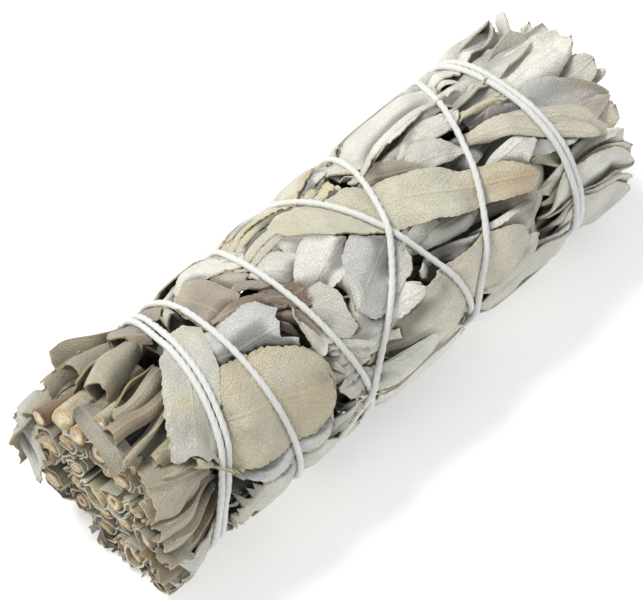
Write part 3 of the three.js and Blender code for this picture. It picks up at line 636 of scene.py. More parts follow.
def leafOutline(t, ending, petiole):
    if ending in ("stalk", "free"):
        return np.ones_like(t)
    base = petiole + (1 - petiole) * smooth(t / 0.34) ** 0.8
    if ending == "cut":
        return base
    if ending == "point":
        return base * (1 - t ** 2.2) ** 0.85
    return base * np.sqrt(np.maximum(0, 1 - t ** 5.5))


def sectionOf(v, width, bends):
    # the curve across a leaf: each bend turns it by some angle near its own place
    fine = np.linspace(-1, 1, 241)
    angle = np.zeros_like(fine)
    for place, turn, softness in bends:
        amount = smooth((fine - place) / (2 * softness) + 0.5)
        angle += turn * (amount - smooth(-place / (2 * softness) + 0.5))
    step = np.diff(fine) * width
    middle = (angle[1:] + angle[:-1]) / 2
    side = np.concatenate([[0], np.cumsum(np.cos(middle) * step)])
    lift = np.concatenate([[0], np.cumsum(-np.sin(middle) * step)])
    side -= np.interp(0, fine, side)
    return np.interp(v, fine, side), np.interp(v, fine, lift)


def bladeSections(t, v, half, curls, bends):
    # one section for each row: how far aside and how high each of its points stands
    side, lift = np.zeros((len(t), len(v))), np.zeros((len(t), len(v)))
    for i, share in enumerate(t):
        turned = [(0.0, 2 * curls[i], 1.0)]
        turned += [(place, angle * (base + (tip - base) * share), soft)
                   for place, angle, soft, base, tip in bends]
        side[i], lift[i] = sectionOf(v, half[i], turned)
    return side, lift - lift.min(axis=1, keepdims=True)


def tornEdge(random, v, reach, fineShare, coarse, fine):
    torn = np.interp(v, np.linspace(-1, 1, coarse), random.uniform(-1, 1, coarse)) * reach
    return torn + np.interp(v, np.linspace(-1, 1, fine), random.uniform(-1, 1, fine)) * reach * fineShare


# how a dried leaf is bent across: place on the half width, angle, softness, share at base and tip
bendings = {
    "flat": [],
    "rolled": [(-0.62, 3.4, 0.24, 0.8, 1), (0.62, 3.4, 0.24, 0.8, 1)],
    "rollLeft": [(-0.5, 3.6, 0.26, 0.7, 1)],
    "rollRight": [(0.5, 3.6, 0.26, 0.7, 1)],
    "folded": [(0.04, -2.95, 0.10, 1, 0.9)],
    "lapLeft": [(-0.42, -2.9, 0.10, 1, 0.8)],
    "lapRight": [(0.42, -2.9, 0.10, 1, 0.8)],
    "tuckLeft": [(-0.35, 2.9, 0.12, 1, 0.85)],
    "tuckRight": [(0.35, 2.9, 0.12, 1, 0.85)],
    "pleated": [(-0.5, 1.3, 0.12, 0.8, 1), (-0.05, -1.9, 0.12, 0.8, 1), (0.45, 1.6, 0.12, 0.8, 1)],
    "ridged": [(0.0, 1.3, 0.14, 0.8, 1)],
    "grooved": [(0.0, -1.1, 0.12, 0.8, 1)],
}


def layLeaf(start, end, width, tint, seed, tipTint=None, bow=0, curl=0.25, bends="flat", ending="round",
            petiole=0.2, stiff=16, tipLift=0, ripple=0.32, fine=1, teeth=0.16, ragged=0.7, puff=0.3,
            stains=(), creases=3, sides=None, shade=1):
    random = np.random.default_rng(seed + 1000)
    (a0, y0), (a1, y1) = (start[0], arcOf(start[1])), (end[0], arcOf(end[1]))
    length = math.hypot(a1 - a0, y1 - y0)
    rows = int(max(14, length / (leafLook["rowPitch"] * fine)))
    columns = int(max(9, width / (leafLook["columnPitch"] * fine))) // 2 * 2 + 1
    t = np.linspace(0, 1, rows) ** 0.97
    v = np.linspace(-1, 1, columns)
    v = np.sign(v) * np.abs(v) ** 0.9
    forward = np.array([a1 - a0, y1 - y0]) / length
    sideways = np.array([-forward[1], forward[0]])
    half = width / 2 * leafOutline(t, ending, petiole)
    leftShare, rightShare = np.ones(rows), np.ones(rows)
    if sides:  # an outline of its own: share of the length, width to the left and to the right
        given = np.array(sides)
        ends = (0.3 + 0.7 * smooth(t / 0.05)) * np.sqrt(np.maximum(0.02, 1 - t ** 24))
        left, right = (np.interp(t, given[:, 0], given[:, k]) * ends for k in (1, 2))
        half = (left + right) / 2
        leftShare, rightShare = left / half, right / half
    folds = [(random.uniform(-0.75, 0.75), random.choice([-1, 1]) * random.uniform(0.4, 1.25),
              random.uniform(0.05, 0.12), random.uniform(0.5, 1.1), random.uniform(0.1, 1.1))
             for _ in range(creases)] if width > 3.6 else []
    folds = bendingOf(bends) + folds
    sideArc, raised = bladeSections(t, v, np.maximum(half, 0.05), np.full(rows, curl), folds)
    sideArc *= np.where(v < 0, leftShare[:, None], rightShare[:, None])
    # scalloped margin and a slow waver
    phase = random.uniform(0, 6, 6)
    down, across = np.meshgrid(t, v, indexing="ij")
    distance = down * length
    hand = np.sign(across)
    scallop = np.abs(np.sin(math.pi * distance / leafLook["toothPitch"] + phase[0] + 1.5 * hand)) - 0.6
    waver = np.sin(distance * 0.55 + phase[1] + 2 * hand) + 0.6 * np.sin(distance * 1.3 + phase[2] + hand)
    inBlade = smooth(down / 0.2) * (0.25 + 0.75 * smooth((1 - down) / 0.05))
    edge = np.abs(across) ** 7
    sideArc += hand * edge * inBlade * (teeth * scallop + leafLook["waver"] * waver * min(1, width / 10))
    sideArc += (bow * np.sin(math.pi * t))[:, None]
    ahead = distance
    if ending == "cut":
        ahead = ahead + smooth((down - 0.6) / 0.4) * tornEdge(random, v, ragged, 0.2, 9, 19)
    along = a0 + forward[0] * ahead + sideways[0] * sideArc
    arc = y0 + forward[1] * ahead + sideways[1] * sideArc
    # the leaf rests on what lies beneath, and bridges the small dips
    bed = sampleMap(height, along, arc) + leafLook["clearance"]
    ground = bed
    for axis in (0, 0, 1, 1):
        ground = np.maximum(ground, np.maximum(np.roll(ground, 1, axis), np.roll(ground, -1, axis)))
    sheet = ground
    for _ in range(stiff):
        sheet = np.maximum(soften(sheet, 3), ground - 0.15)
    free = 1 - np.exp(-(sampleMap(stringDistance, along, arc) / leafLook["stringReach"]) ** 2)
    noise = np.sin(distance * 0.42 + phase[3]) * np.cos(across * 1.7 + phase[4])
    noise += 0.5 * np.sin(distance * 0.95 + across * 2.1 + phase[5])
    noise += 1.2 * across ** 2 * np.sin(distance * 0.7 + phase[0] + 2 * across)
    sink = leafLook["rootSink"] * (1 - smooth(down / 0.07))
    radius = sheet + raised * (leafLook["raisedAtString"] + (1 - leafLook["raisedAtString"]) * free)
    radius += ripple * noise * free * (0.4 + 0.6 * smooth(down / 0.2))
    radius += puff * free * smooth(down / 0.15) + tipLift * smooth((down - 0.72) / 0.28) - sink
    radius = np.maximum(radius, bed - sink)
    raiseMap(along, arc, radius + leafLook["thickness"])
    # colour: a greener base, stains, a tan margin, a browner tip
    colour = palette[tint] * random.uniform(0.93, 1.06) * shade
    colour = colour * (0.99 + 0.04 * np.sin(distance * 0.21 + phase[2] + across))[..., None]
    if tipTint:
        share = smooth((down - 0.62) / 0.36) * (0.75 + 0.25 * np.sin(across * 5 + phase[1]))
        colour = blend(colour, share, tipTint)
    colour = blend(colour, leafLook["green"] * (1 - smooth(down / 0.3)), "stalk")
    for atLength, atWidth, reach, name, strength in stains:
        gap = ((down - atLength) * length) ** 2 + ((across - atWidth) * width / 2) ** 2
        colour = blend(colour, np.exp(-gap / reach ** 2) * strength, name)
    fromEdge = (1 - np.abs(across)) * half[:, None]
    margin = leafLook["margin"] * np.exp(-fromEdge / leafLook["marginWidth"])
    colour = blend(colour, margin * smooth(down / 0.1), "tan", 1.05)
    laid.append({
        "along": along, "arc": arc, "radius": radius, "tint": colour, "rim": colour * leafLook["rim"],
        "place": np.stack([distance / 100 + seed * 0.37 % 3, across * half[:, None] / 100], -1),
        "thickness": leafLook["thickness"], "turn": turnOf(y0), "placed": False,
        "gapShade": leafLook["weakGapShade" if tint in ("yellow", "ochre") else "gapShade"],
    })


def bendingOf(bends):
    return list(bendings[bends]) if isinstance(bends, str) else list(bends)


def leaf(along, turn, endAlong, endTurn, width, tint, seed, **rest):
    ends = {"start": (along, turn), "end": (endAlong, endTurn)}
    return {**ends, "width": width, "tint": tint, "seed": seed, **rest}


def underLeaves():
    # the first layer, all round, in staggered rows from the tips back
    random = np.random.default_rng(11)
    tones = ["grey", "grey", "light", "beige", "green", "taupe", "lilac", "blue"]
    rows = [(90, 16), (79, 22), (67, 24), (55, 25), (43, 25), (31, 24), (19, 24), (8, 22)]
    for row, (start, reach) in enumerate(rows):
        for k in range(9):
            turn = (k + 0.5 * (row % 2)) * 40 + random.uniform(-6, 6)
            along = start + random.uniform(-3, 3)
            swing = random.uniform(-20, 20)
            yield {
                "start": (max(along, 3.5), turn),
                "end": (min(along + reach + random.uniform(-3, 3), 106.5), turn + swing),
                "width": random.uniform(10, 14), "tint": anyOf(random, tones),
                "curl": random.uniform(0.05, 0.5), "seed": int(random.integers(9999)), "fine": 1.6,
                "ripple": 0.3, "bow": random.uniform(-2, 2),
            }


def cutLeaves():
    # leaf bases cut off with the stems, rolled round the end
    random = np.random.default_rng(61)
    tones = ["grey", "beige", "light", "green", "taupe", "grey"]
    for layer in range(2):
        for k in range(14):
            turn = (k + 0.5 * layer) * 360 / 14 + random.uniform(-6, 6)
            yield {
                "start": (random.uniform(15, 21), turn),
                "end": (random.uniform(2.2, 4.2), turn + random.uniform(-16, 16)),
                "width": random.uniform(6, 9), "ending": "cut", "tint": anyOf(random, tones),
                "curl": random.uniform(0.6, 1.8), "seed": int(random.integers(9999)), "fine": 1.3,
                "petiole": 0.5,
            }


def fillLeaves():
    # small folded pieces that show in the gaps between the larger leaves
    random = np.random.default_rng(83)
    tones = ["grey", "light", "beige", "grey", "green", "light", "blue", "taupe", "beige"]
    folded = ["folded", "lapLeft", "lapRight", "tuckLeft", "tuckRight", "rolled", "rollLeft", "pleated",
              "flat"]
    for row in range(13):
        for k in range(9):
            turn = -72 + (k + 0.5 * (row % 2)) * 22 + random.uniform(-7, 7)
            along = 14 + row * 6.4 + random.uniform(-3, 3)
            reach = random.uniform(10, 17)
            yield {
                "start": (along, turn), "end": (along + reach, turn + random.uniform(-24, 24)),
                "width": random.uniform(5, 8.5), "tint": anyOf(random, tones),
                "bends": anyOf(random, folded), "curl": random.uniform(0.1, 0.9),
                "seed": int(random.integers(9999)), "fine": 1.3, "creases": 1, "puff": 0.1,
            }


def backLeaves():
    # the leaves of the far side, where nothing is placed by hand
    random = np.random.default_rng(29)
    tones = ["grey", "light", "grey", "blue", "beige", "yellow", "lilac", "taupe", "light", "green"]
    curls = [2.0, 0.3, 0.6, 0.15, 1.0, 0.4]
    rows = [(84, 20), (74, 24), (63, 25), (52, 27), (41, 27), (30, 27), (19, 27), (9, 25)]
    for row, (start, reach) in enumerate(rows):
        for k in range(6):
            turn = 108 + (k + 0.5 + 0.35 * (row % 2)) / 6 * 184 + random.uniform(-7, 7)
            along = start + random.uniform(-4, 4)
            swing = random.uniform(-34, 34)
            kind = random.integers(len(curls))
            yield {
                "start": (max(along, 3.0), turn),
                "end": (min(along + reach * random.uniform(0.8, 1.15), 106.5), turn + swing),
                "width": random.uniform(8, 14.5) if kind else random.uniform(4, 6),
                "tint": anyOf(random, tones),
                "tipTint": "tan" if random.random() < 0.2 else None,
                "curl": curls[kind], "seed": int(random.integers(9999)), "fine": 1.4,
                "bends": [(random.choice([-0.5, 0.5]), random.choice([-2.6, 2.6]), 0.12, 1, 0.8)]
                if kind == 3 else (),
                "ripple": 0.28, "bow": random.uniform(-2, 2), "puff": 0.5,
            }
    for k in range(9):
        turn = 100 + k * 21 + random.uniform(-6, 6)
        yield {
            "start": (15 + random.uniform(-2, 5), turn),
            "end": (2 + random.uniform(0, 3), turn + random.uniform(-14, 14)),
            "width": random.uniform(5, 9), "ending": "cut", "tint": anyOf(random, tones),
            "curl": random.uniform(0.4, 1.6), "seed": int(random.integers(9999)), "fine": 1.4, "puff": 0.3,
        }


# leaves placed one by one: from and to (along, turn), width, tint, seed, and what sets each apart
tube = {"ending": "stalk", "curl": 1.9}
band = {"ending": "stalk", "curl": 1.6}
frontLeaves = [
    # tips
    leaf(78, -70, 104, -72, 13, "light", 101, creases=1),
    leaf(80, -48, 104.5, -64, 13, "light", 1, bends="grooved", creases=1),
    leaf(82, -36, 106, -50, 12.5, "light", 2, bends="ridged", creases=1, layer=-1),
    leaf(85, -24, 107, -34, 11, "light", 3, bends="lapLeft", tipLift=0.4, creases=1),
    leaf(84, -14, 107.5, -17, 12, "light", 4, layer=-1),
    leaf(85, -8, 107, 0, 10.5, "light", 41, bends="rollRight", layer=1),
    leaf(88, 2, 106.5, 9, 7.5, "grey", 5, bends="lapLeft", layer=-3, creases=1),
    leaf(90, 12, 107, 17, 8, "grey", 6, curl=0.5, creases=1),
    leaf(92, 20, 108, 25, 7.5, "light", 7, curl=1.5, tipLift=0.9, creases=1),
    leaf(79, 8, 104.5, 36, 14.5, "blue", 8, tipTint="taupe", ripple=0.2, creases=1,
         sides=[(0, 1.5, 1.5), (0.3, 5, 4.5), (0.6, 6.6, 6), (0.85, 5, 4.4), (1, 1.4, 1.4)], ending="free"),
    leaf(88, 38, 104.5, 42, 10, "beige", 9, bends="lapLeft", creases=1),
    leaf(90, 50, 103, 47, 9, "grey", 91, bends="tuckRight", layer=-1, creases=1),
    leaf(86, 56, 103.5, 55, 10, "light", 10, bends="tuckLeft", tipLift=0.4, creases=2),
    leaf(86, 66, 104, 66, 10, "beige", 11, bends="lapLeft", creases=1),
    leaf(85, 75, 103.5, 76, 11, "light", 12, bends="lapRight", creases=1),
    leaf(84, 87, 103, 86, 12, "grey", 13, bends="rollLeft", creases=1),
    leaf(84, 100, 103, 99, 12, "grey", 131, creases=2),
    leaf(78.5, 0, 100, 50, 5, "beige", 14, curl=1.6, bow=-0.8, puff=1.4, petiole=0.14, creases=1, layer=4,
         stiff=20),
    # upper middle
    leaf(62, -72, 86, -68, 13, "light", 151),
    leaf(64, -54, 88, -54, 11, "light", 15, bends="lapRight"),
    leaf(61, -33, 86, -37, 10, "light", 16, curl=0.5, creases=2, puff=0.6),
    leaf(62, -17, 91, -21, 3.4, "light", 17, curl=1.9, puff=0.9, petiole=0.6, bow=-1.2, layer=2),
    leaf(70, -9, 84, -10, 6.5, "light", 18, bends="rolled", puff=0.5, layer=1),
    leaf(72, -12, 80, 0, 2.6, "stalk", 19, **tube, puff=0.4),
    leaf(79, -10, 92, 2, 2.0, "stalk", 20, **tube),
    leaf(82, -12, 93, -3, 2.0, "beige", 201, **tube, bow=0.8),
    leaf(84, -15, 92, -9, 2.4, "stalk", 202, **tube, bow=-1.6),
    leaf(79, -17, 92, -15, 2.2, "beige", 203, **tube, bow=-0.8),
    leaf(64, -14, 71.5, 4, 7, "taupe", 21, ending="point"),
    leaf(69, -2, 80.5, 9, 7, "grey", 22, ending="point"),
    leaf(72, 14, 88, 9, 5, "blue", 221, ending="point", layer=-3),
    leaf(79, 26, 91.5, 25, 8, "light", 23, curl=0.4, ending="point"),
    leaf(91, 30, 80.5, 80, 10.5, "grey", 24, curl=0.3, bow=-0.8, petiole=0.7),
    leaf(72, 42, 85, 50, 6, "beige", 241, tipTint="tan", bends="rollLeft"),
    leaf(70, 52, 84, 58, 7, "light", 242, bends="lapLeft", tipTint="taupe"),
    leaf(58, 27, 76, 38, 9, "grey", 25),
    leaf(60, 44, 74, 54, 9, "light", 26, bends="tuckLeft"),
    leaf(66, 76, 82, 72, 8, "grey", 27, bends="lapLeft"),
    leaf(70, 84, 90, 90, 10, "grey", 271, bends="tuckLeft"),
    leaf(52, 82, 70, 82, 8, "grey", 29, bends="folded"),
    leaf(46, 92, 64, 94, 11, "grey", 30),
    leaf(68, 98, 90, 102, 11, "grey", 301),
    leaf(50, -64, 70, -60, 12, "beige", 31, curl=0.4),
    leaf(54, -40, 66, -52, 8, "light", 311, bends="rollRight"),
    leaf(63, -58, 66, -18, 6, "light", 32, curl=0.9, bow=1.5, puff=0.5),
    leaf(55, -44, 62, -34, 4.5, "light", 321, curl=0.9, layer=-4),
    leaf(47, -25, 86, 43, 10.4, "yellow", 33, tipTint="tan", shade=1.04, curl=0.8, bow=0.6, puff=1.4,
         petiole=0.5, stiff=30, layer=16, ripple=0.14, creases=1, sides=[(0, 2.5, 2.5), (0.15, 4.5, 3.6),
         (0.3, 4.8, 4.8), (0.6, 4.2, 4.3), (0.85, 3.1, 3.2), (1, 2.2, 2.4)], ending="free"),
    # lower middle
    leaf(61, 17, 47, 36, 11.5, "lilac", 34, ending="free", layer=21, creases=2, ripple=0.15,
         sides=[(0, 2, 2), (0.3, 5.2, 5.2), (0.62, 5.6, 5.0), (0.8, 5.2, 3), (1, 3.4, 0.6)]),
    leaf(45, 68, 80, 64, 9.5, "beige", 35, curl=0.6),
    leaf(36, 14, 52, 44, 13, "grey", 361, layer=-9, curl=0.1),
    leaf(54, 2, 40, 34, 12, "light", 362, layer=-8, curl=0.1, ending="cut"),
    leaf(51, 15, 47, 40, 4.5, "light", 36, bends="folded", ending="cut", layer=8, puff=0.5),
    leaf(57, 1, 42.5, 16, 9, "light", 38, curl=0.5, layer=16),
    leaf(40, -18, 46, 13, 9, "light", 37, ending="free", layer=-2,
         sides=[(0, 3, 3), (0.4, 4.5, 3.5), (0.8, 4.2, 3.5), (1, 2.2, 2)]),
    leaf(46, -18, 51, 2, 6.5, "light", 371, ending="point", layer=-1),
    leaf(43, 13, 41.5, 43, 8.5, "grey", 39, ending="cut", creases=1, petiole=0.6, puff=0.9, layer=12),
    leaf(32, 36, 48, 60, 2.8, "beige", 40, **tube, puff=0.7, bow=-1.6),
    leaf(33, 44, 41, 60, 2.8, "grey", 401, **tube, puff=0.6, bow=-1.8),
    leaf(40, 44, 52, 62, 3.2, "grey", 402, **tube, puff=0.6, bow=1),
    leaf(43, 46, 59, 50, 5.5, "light", 41, bends="rollRight"),
    leaf(46, 58, 59, 50, 5, "light", 403, bends="folded", layer=-3),
    leaf(38, 62, 47, 74, 6, "grey", 404, bends="lapLeft"),
    leaf(40, 76, 58, 76, 8, "grey", 42, bends="tuckLeft"),
    leaf(36, -36, 60, -23, 3.4, "stalk", 43, **band, bow=-0.6, puff=0.5),
    leaf(37, -28, 58, -20, 3.4, "yellow", 44, **band, bow=0.6, puff=0.5),
    leaf(38, -22, 54, -16, 3.0, "beige", 441, **band, bow=0.6, puff=0.4),
    leaf(36, -44, 58, -30, 3.0, "stalk", 442, **band, bow=-0.8, puff=0.4),
    leaf(30, -38, 42, -29, 9, "light", 45, curl=0.5, layer=-4),
    leaf(26, -74, 54, -70, 12, "beige", 461, curl=0.5, creases=4),
    leaf(29.5, -36, 31, -1, 8.5, "taupe", 47, ending="cut", petiole=0.7, layer=-4),
    leaf(29, -6, 43, 12, 6.4, "brown", 48, bends="rollLeft", ending="cut", puff=0.8),
    leaf(34, -10, 40, 0, 4, "taupe", 481, bends="folded", ending="cut"),
    leaf(36, 12, 40, 34, 4.6, "brown", 49, curl=1.3, ending="cut", puff=0.4),
    leaf(19, 8, 36, 19, 12.5, "blue", 50, ending="cut", ragged=1.5),
    leaf(13, 44, 35, 76, 14, "blue", 51, curl=0.45, creases=2, puff=0.5),
    leaf(13, 30, 38, 56, 16, "ochre", 52, curl=0.3, stiff=26, ripple=0.14, teeth=0.3, petiole=0.6,
         creases=2, layer=4, puff=0.7, stains=[(0.25, -0.6, 3, "stalk", 0.5), (0.85, 0.2, 4, "tan", 0.35),
         (0.5, 0.5, 2.6, "grey", 0.45), (0.35, 0.1, 2, "beige", 0.5), (0.7, -0.5, 2.4, "grey", 0.4)]),
    leaf(22, 84, 42, 82, 9, "grey", 53, bends="lapLeft"),
    leaf(14, 96, 36, 98, 12, "grey", 54),
    # the cut end
    leaf(25.5, -14, 12, 42, 8.6, "grey", 55, shade=0.86, curl=0.7, ending="cut", petiole=0.6, layer=17,
         stains=[(0.62, 0.3, 2.2, "stalk", 0.8), (0.85, -0.2, 1.6, "tan", 0.35)], creases=2, puff=0.5),
    leaf(22, -72, 3, -66, 11, "light", 59, shade=0.84, bends="folded", ending="cut", puff=0.6),
    leaf(18, -84, -2.4, -86, 11, "grey", 591, shade=0.84, curl=1.0, puff=0.4),
]


# the under and fill layers are darkened as painted shade beneath the leaves laid over them
layers = {"underShade": 0.72, "fillShade": 0.9, "rollsTo": 15, "rollTurns": (-82, 100)}


def layAll():
    def atRolls(spec):
        # the rolls at the cut end take this room
        turn = (spec["start"][1] + 180) % 360 - 180
        first, last = layers["rollTurns"]
        return min(spec["start"][0], spec["end"][0]) < layers["rollsTo"] and first < turn < last

    for spec in list(underLeaves()) + list(cutLeaves()):
        if not atRolls(spec):
            layLeaf(**spec, shade=layers["underShade"])
    for spec in sorted(fillLeaves(), key=lambda spec: -spec["start"][0]):
        if not atRolls(spec):
            layLeaf(**spec, shade=layers["fillShade"])
    # from the tips back to the cut end, as sprigs overlap
    specs = frontLeaves + list(backLeaves())
    for spec in sorted(specs, key=lambda spec: spec.get("layer", 0) - max(spec["start"][0], 0)):
        spec.pop("layer", None)
        layLeaf(**spec)


rollLook = {
    "thickness": 0.32, "rowPitch": 0.5, "columnPitch": 0.4, "waver": 0.12, "rim": (0.95, 0.88, 0.74),
    "warmEnd": 24, "warmth": (0.73, 0.68, 0.565),
}


def layRoll(seed, width, tint, curl, path, bends="flat", tilt=0, taper=(0.6, 1), jag=0.5, shade=0.9,
            rounded=False):
    # a stiff rolled or folded blade whose middle follows given points (along, turn, radius), free of the bed
    random = np.random.default_rng(seed + 5000)
    line = curveThrough([(along, arcOf(turn), radius) for along, turn, radius in path], rollLook["rowPitch"])
    rows = len(line)
    columns = int(max(13, width / rollLook["columnPitch"])) // 2 * 2 + 1
    t, v = np.linspace(0, 1, rows), np.linspace(-1, 1, columns)
    ahead = unit(np.gradient(line[:, :2], axis=0))
    sideways = np.stack([-ahead[:, 1], ahead[:, 0]], -1)
    half = width / 2 * (taper[0] + (taper[1] - taper[0]) * smooth(t / 0.8))
    if rounded:
        half = half * np.sqrt(np.maximum(0.02, 1 - t ** 5))
    creases = [(random.uniform(-0.7, 0.7), random.choice([-1, 1]) * random.uniform(0.3, 0.8), 0.08, 0.6, 1.0)
               for _ in range(2)]
    phase = random.uniform(0, 6, 4)
    gone = t * rows * 0.4
    curls = curl * (0.85 + 0.15 * np.sin(gone * 0.5 + phase[3]))
    side, lift = bladeSections(t, v, half, curls, bendingOf(bends) + creases)
    side, lift = side * math.cos(tilt) - lift * math.sin(tilt), side * math.sin(tilt) + lift * math.cos(tilt)
    distance = gone[:, None] + 0 * v[None]
    slow = np.sin(distance * 0.6 + phase[0] + 1.5 * v) + 0.6 * np.sin(distance * 1.4 + phase[1] + 3 * v)
    lift = lift + rollLook["waver"] * slow
    side = side + rollLook["waver"] * np.sin(distance * 0.8 + phase[2] + v)
    reach = smooth((t - 0.7) / 0.3)[:, None] * tornEdge(random, v, jag, 0.45, 8, 17)
    along = line[:, 0:1] + sideways[:, 0:1] * side + ahead[:, 0:1] * reach
    arc = line[:, 1:2] + sideways[:, 1:2] * side + ahead[:, 1:2] * reach
    # colour: warmer and darker at the cut end, with painted shade low down in the roll and towards the root,
    # and tan margins
    colour = palette[tint] * random.uniform(0.94, 1.05) * shade
    if path[0][0] < rollLook["warmEnd"]:
        colour = colour * rollLook["warmth"]
    mottleAndShade = 0.95 + 0.07 * np.sin(distance * 0.5 + phase[1]) * np.cos(2 * v + phase[0])
    crest = np.maximum(lift.max(axis=1, keepdims=True), 0.6)
    # painted shade low down in the roll, below its crest
    mottleAndShade = mottleAndShade * (1 - 0.6 * clamp(1 - lift / crest, 0, 1) ** 1.3)
    fromEdge, fromTip = (1 - np.abs(v)) * half[:, None], (1 - t)[:, None] * rows * rollLook["rowPitch"]
    margin = np.minimum(0.16 * np.exp(-fromEdge / 0.3) + 0.3 * np.exp(-fromTip / 0.35), 0.5)
    colour = blend(colour * mottleAndShade[..., None], margin, "tan", 1.1)
    # painted shade towards the root, where the blade runs under other leaves
    colour = colour * (0.5 + 0.5 * smooth(t / 0.45))[:, None, None]
    laid.append({
        "along": along, "arc": arc, "radius": line[:, 2:3] + lift,
        "tint": colour, "rim": colour * rollLook["rim"],
        "place": np.stack([distance / 100 + seed * 0.29 % 3, v[None] * half[:, None] / 100], -1),
        "thickness": rollLook["thickness"], "turn": turnOf(line[-1, 1]), "placed": True,
    })


def layRolls():
    # the blades cut off with the stems, seen on their rolled ends
    layRoll(1, 11, "grey", 1.85, [(22.5, -42, 13.8), (15.5, -35, 13.4), (9.2, -25, 13.5)], shade=0.95,
            taper=(0.7, 1.05), jag=0.9)
    layRoll(2, 11, "grey", 1.0, [(22, -56, 14.0), (15, -56, 14.2), (10.2, -52, 14.4)], bends="lapRight",
            shade=0.95, tilt=0.15)
    layRoll(3, 5, "light", 1.3, [(22, -49, 14.9), (14, -47, 14.8), (8.6, -40, 14.8)], tilt=-0.5)
    layRoll(4, 9, "light", 1.2, [(20, -68, 14.0), (12, -68, 14.0), (7.0, -65, 14.2)], bends="folded")
    layRoll(5, 9, "grey", 1.7, [(20, -77, 13.8), (3.0, -76, 14.0)])
    layRoll(6, 9, "light", 1.2, [(16, -86, 14.4), (6, -86, 14.6), (-1.0, -88, 14.4)], jag=0.8)
    layRoll(7, 6, "green", 1.5, [(18, -30, 12.6), (10, -23, 12.6), (5.0, -16, 12.8)], tilt=0.5, shade=0.7)
    layRoll(8, 5, "stalk", 1.3, [(19, -19, 13.2), (13.5, -17, 13.6), (9.0, -13, 13.9)], bends="folded",
            shade=0.85)
    layRoll(9, 9.5, "grey", 2.5, [(18, -6, 14.0), (12.5, -1, 14.2), (7.4, -1, 14.6)], shade=0.8,
            taper=(0.8, 0.8), jag=0.7)
    layRoll(10, 11, "taupe", 2.3, [(17, 7, 13.2), (10.5, 8, 13.4), (4.8, 6, 13.0)], shade=1.15,
            taper=(0.7, 1.0), jag=0.35)
    layRoll(11, 4.8, "lilac", 0.3, [(6.0, -27, 14.4), (4.6, -6, 15.0), (3.2, 22, 14.0)], tilt=0.35,
            taper=(0.8, 1), jag=0.4)
    layRoll(12, 3.6, "taupe", 0.4, [(8.0, -27, 13.9), (6.6, -8, 14.4), (5.0, 4, 14.0)], shade=0.8, tilt=0.5)
    layRoll(13, 6.4, "light", 0.6, [(15.4, 7, 14.8), (9.5, 14, 14.9), (3.8, 17, 14.5)], bends="folded",
            tilt=0.5, jag=0.3)
    layRoll(14, 6.0, "light", 0.7, [(15.0, 11, 14.5), (9.5, 18.5, 15.0), (3.4, 23, 14.2)], bends="folded",
            tilt=0.7, jag=0.4)
    layRoll(15, 6.0, "beige", 0.7, [(14.4, 16, 14.2), (10, 23.5, 14.6), (4.4, 29, 13.8)], bends="folded",
            tilt=0.6, jag=0.4)
    layRoll(16, 6.0, "green", 1.4, [(15.0, 22, 14.4), (11.4, 28, 14.8), (7.6, 30, 14.4)], jag=0.6)
    layRoll(17, 6.4, "light", 0.5, [(14.6, 46, 15.4), (11, 38, 15.4), (7.4, 31.5, 15.0)], bends="folded",
            tilt=-0.35, taper=(0.4, 1))
    layRoll(18, 10, "light", 1.35, [(14.2, 52, 14.7), (9.0, 44.5, 14.6), (3.6, 37.5, 13.9)],
            taper=(0.3, 1.0))
    layRoll(19, 9, "taupe", 1.0, [(14.4, 57, 14.2), (8.4, 52, 14.2), (2.6, 45.5, 13.4)], taper=(0.35, 1.0),
            shade=1.15, tilt=-0.3)
    layRoll(20, 6.4, "light", 2.3, [(14.6, 56, 13.6), (8.6, 57, 14.2), (2.6, 52.5, 13.8)], taper=(0.4, 1),
            jag=0.4)
    layRoll(21, 5.0, "light", 1.2, [(14.4, 59, 13.8), (8.4, 62, 14.6), (3.4, 59.5, 14.4)], bends="folded",
            tilt=0.4, taper=(0.4, 1))
    layRoll(22, 7.4, "grey", 2.2, [(14.2, 62, 13.2), (8.2, 67, 13.9), (2.2, 66, 13.4)], taper=(0.4, 1),
            jag=0.6)
    layRoll(23, 4.6, "light", 1.2, [(14.2, 66, 14.0), (9.0, 72, 14.8), (4.2, 71, 14.7)], bends="folded",
            tilt=0.5, taper=(0.4, 1))
    layRoll(24, 7.0, "light", 2.3, [(14.0, 70, 13.2), (8.4, 76.5, 14.0), (2.0, 77, 13.4)], taper=(0.4, 1),
            jag=0.6)
    layRoll(29, 5.0, "taupe", 1.0, [(14.0, 75, 13.6), (8.6, 81.5, 14.6), (3.6, 83, 14.4)], bends="folded",
            tilt=0.4, shade=1.1)
    layRoll(25, 8, "grey", 2.1, [(14.0, 82, 13.2), (7.6, 87, 13.8), (1.6, 89, 13.4)], taper=(0.5, 1),
            jag=0.7)
    layRoll(26, 6, "light", 1.2, [(14.0, 90, 13.4), (7.0, 95, 14.2), (2.4, 97, 14.0)], bends="lapRight",
            taper=(0.5, 1), jag=0.8)
    layRoll(27, 9, "taupe", 1.8, [(14.0, 100, 13.4), (7.0, 104, 14.0), (0.8, 106, 13.8)], jag=0.7,
            shade=1.1)
    # bands over the upper left, between the strings
    layRoll(41, 5, "beige", 0.9, [(28, -62, 15.7), (44, -58, 16.3), (63, -50, 15.7)], jag=0)
    layRoll(42, 4.6, "stalk", 1.1, [(29, -52, 15.7), (45, -47, 16.4), (62, -38, 15.7)], jag=0, shade=1.05)
    layRoll(43, 4.0, "beige", 1.1, [(29, -44, 15.7), (45, -39, 16.5), (60, -30, 15.7)], jag=0, shade=1.05)
    layRoll(44, 4.2, "light", 1.1, [(30, -37, 15.6), (46, -31, 16.4), (61, -22, 15.7)], jag=0)
    layRoll(45, 3.4, "yellow", 1.2, [(33, -31, 15.5), (47, -25, 16.3), (59, -17, 15.6)], jag=0)
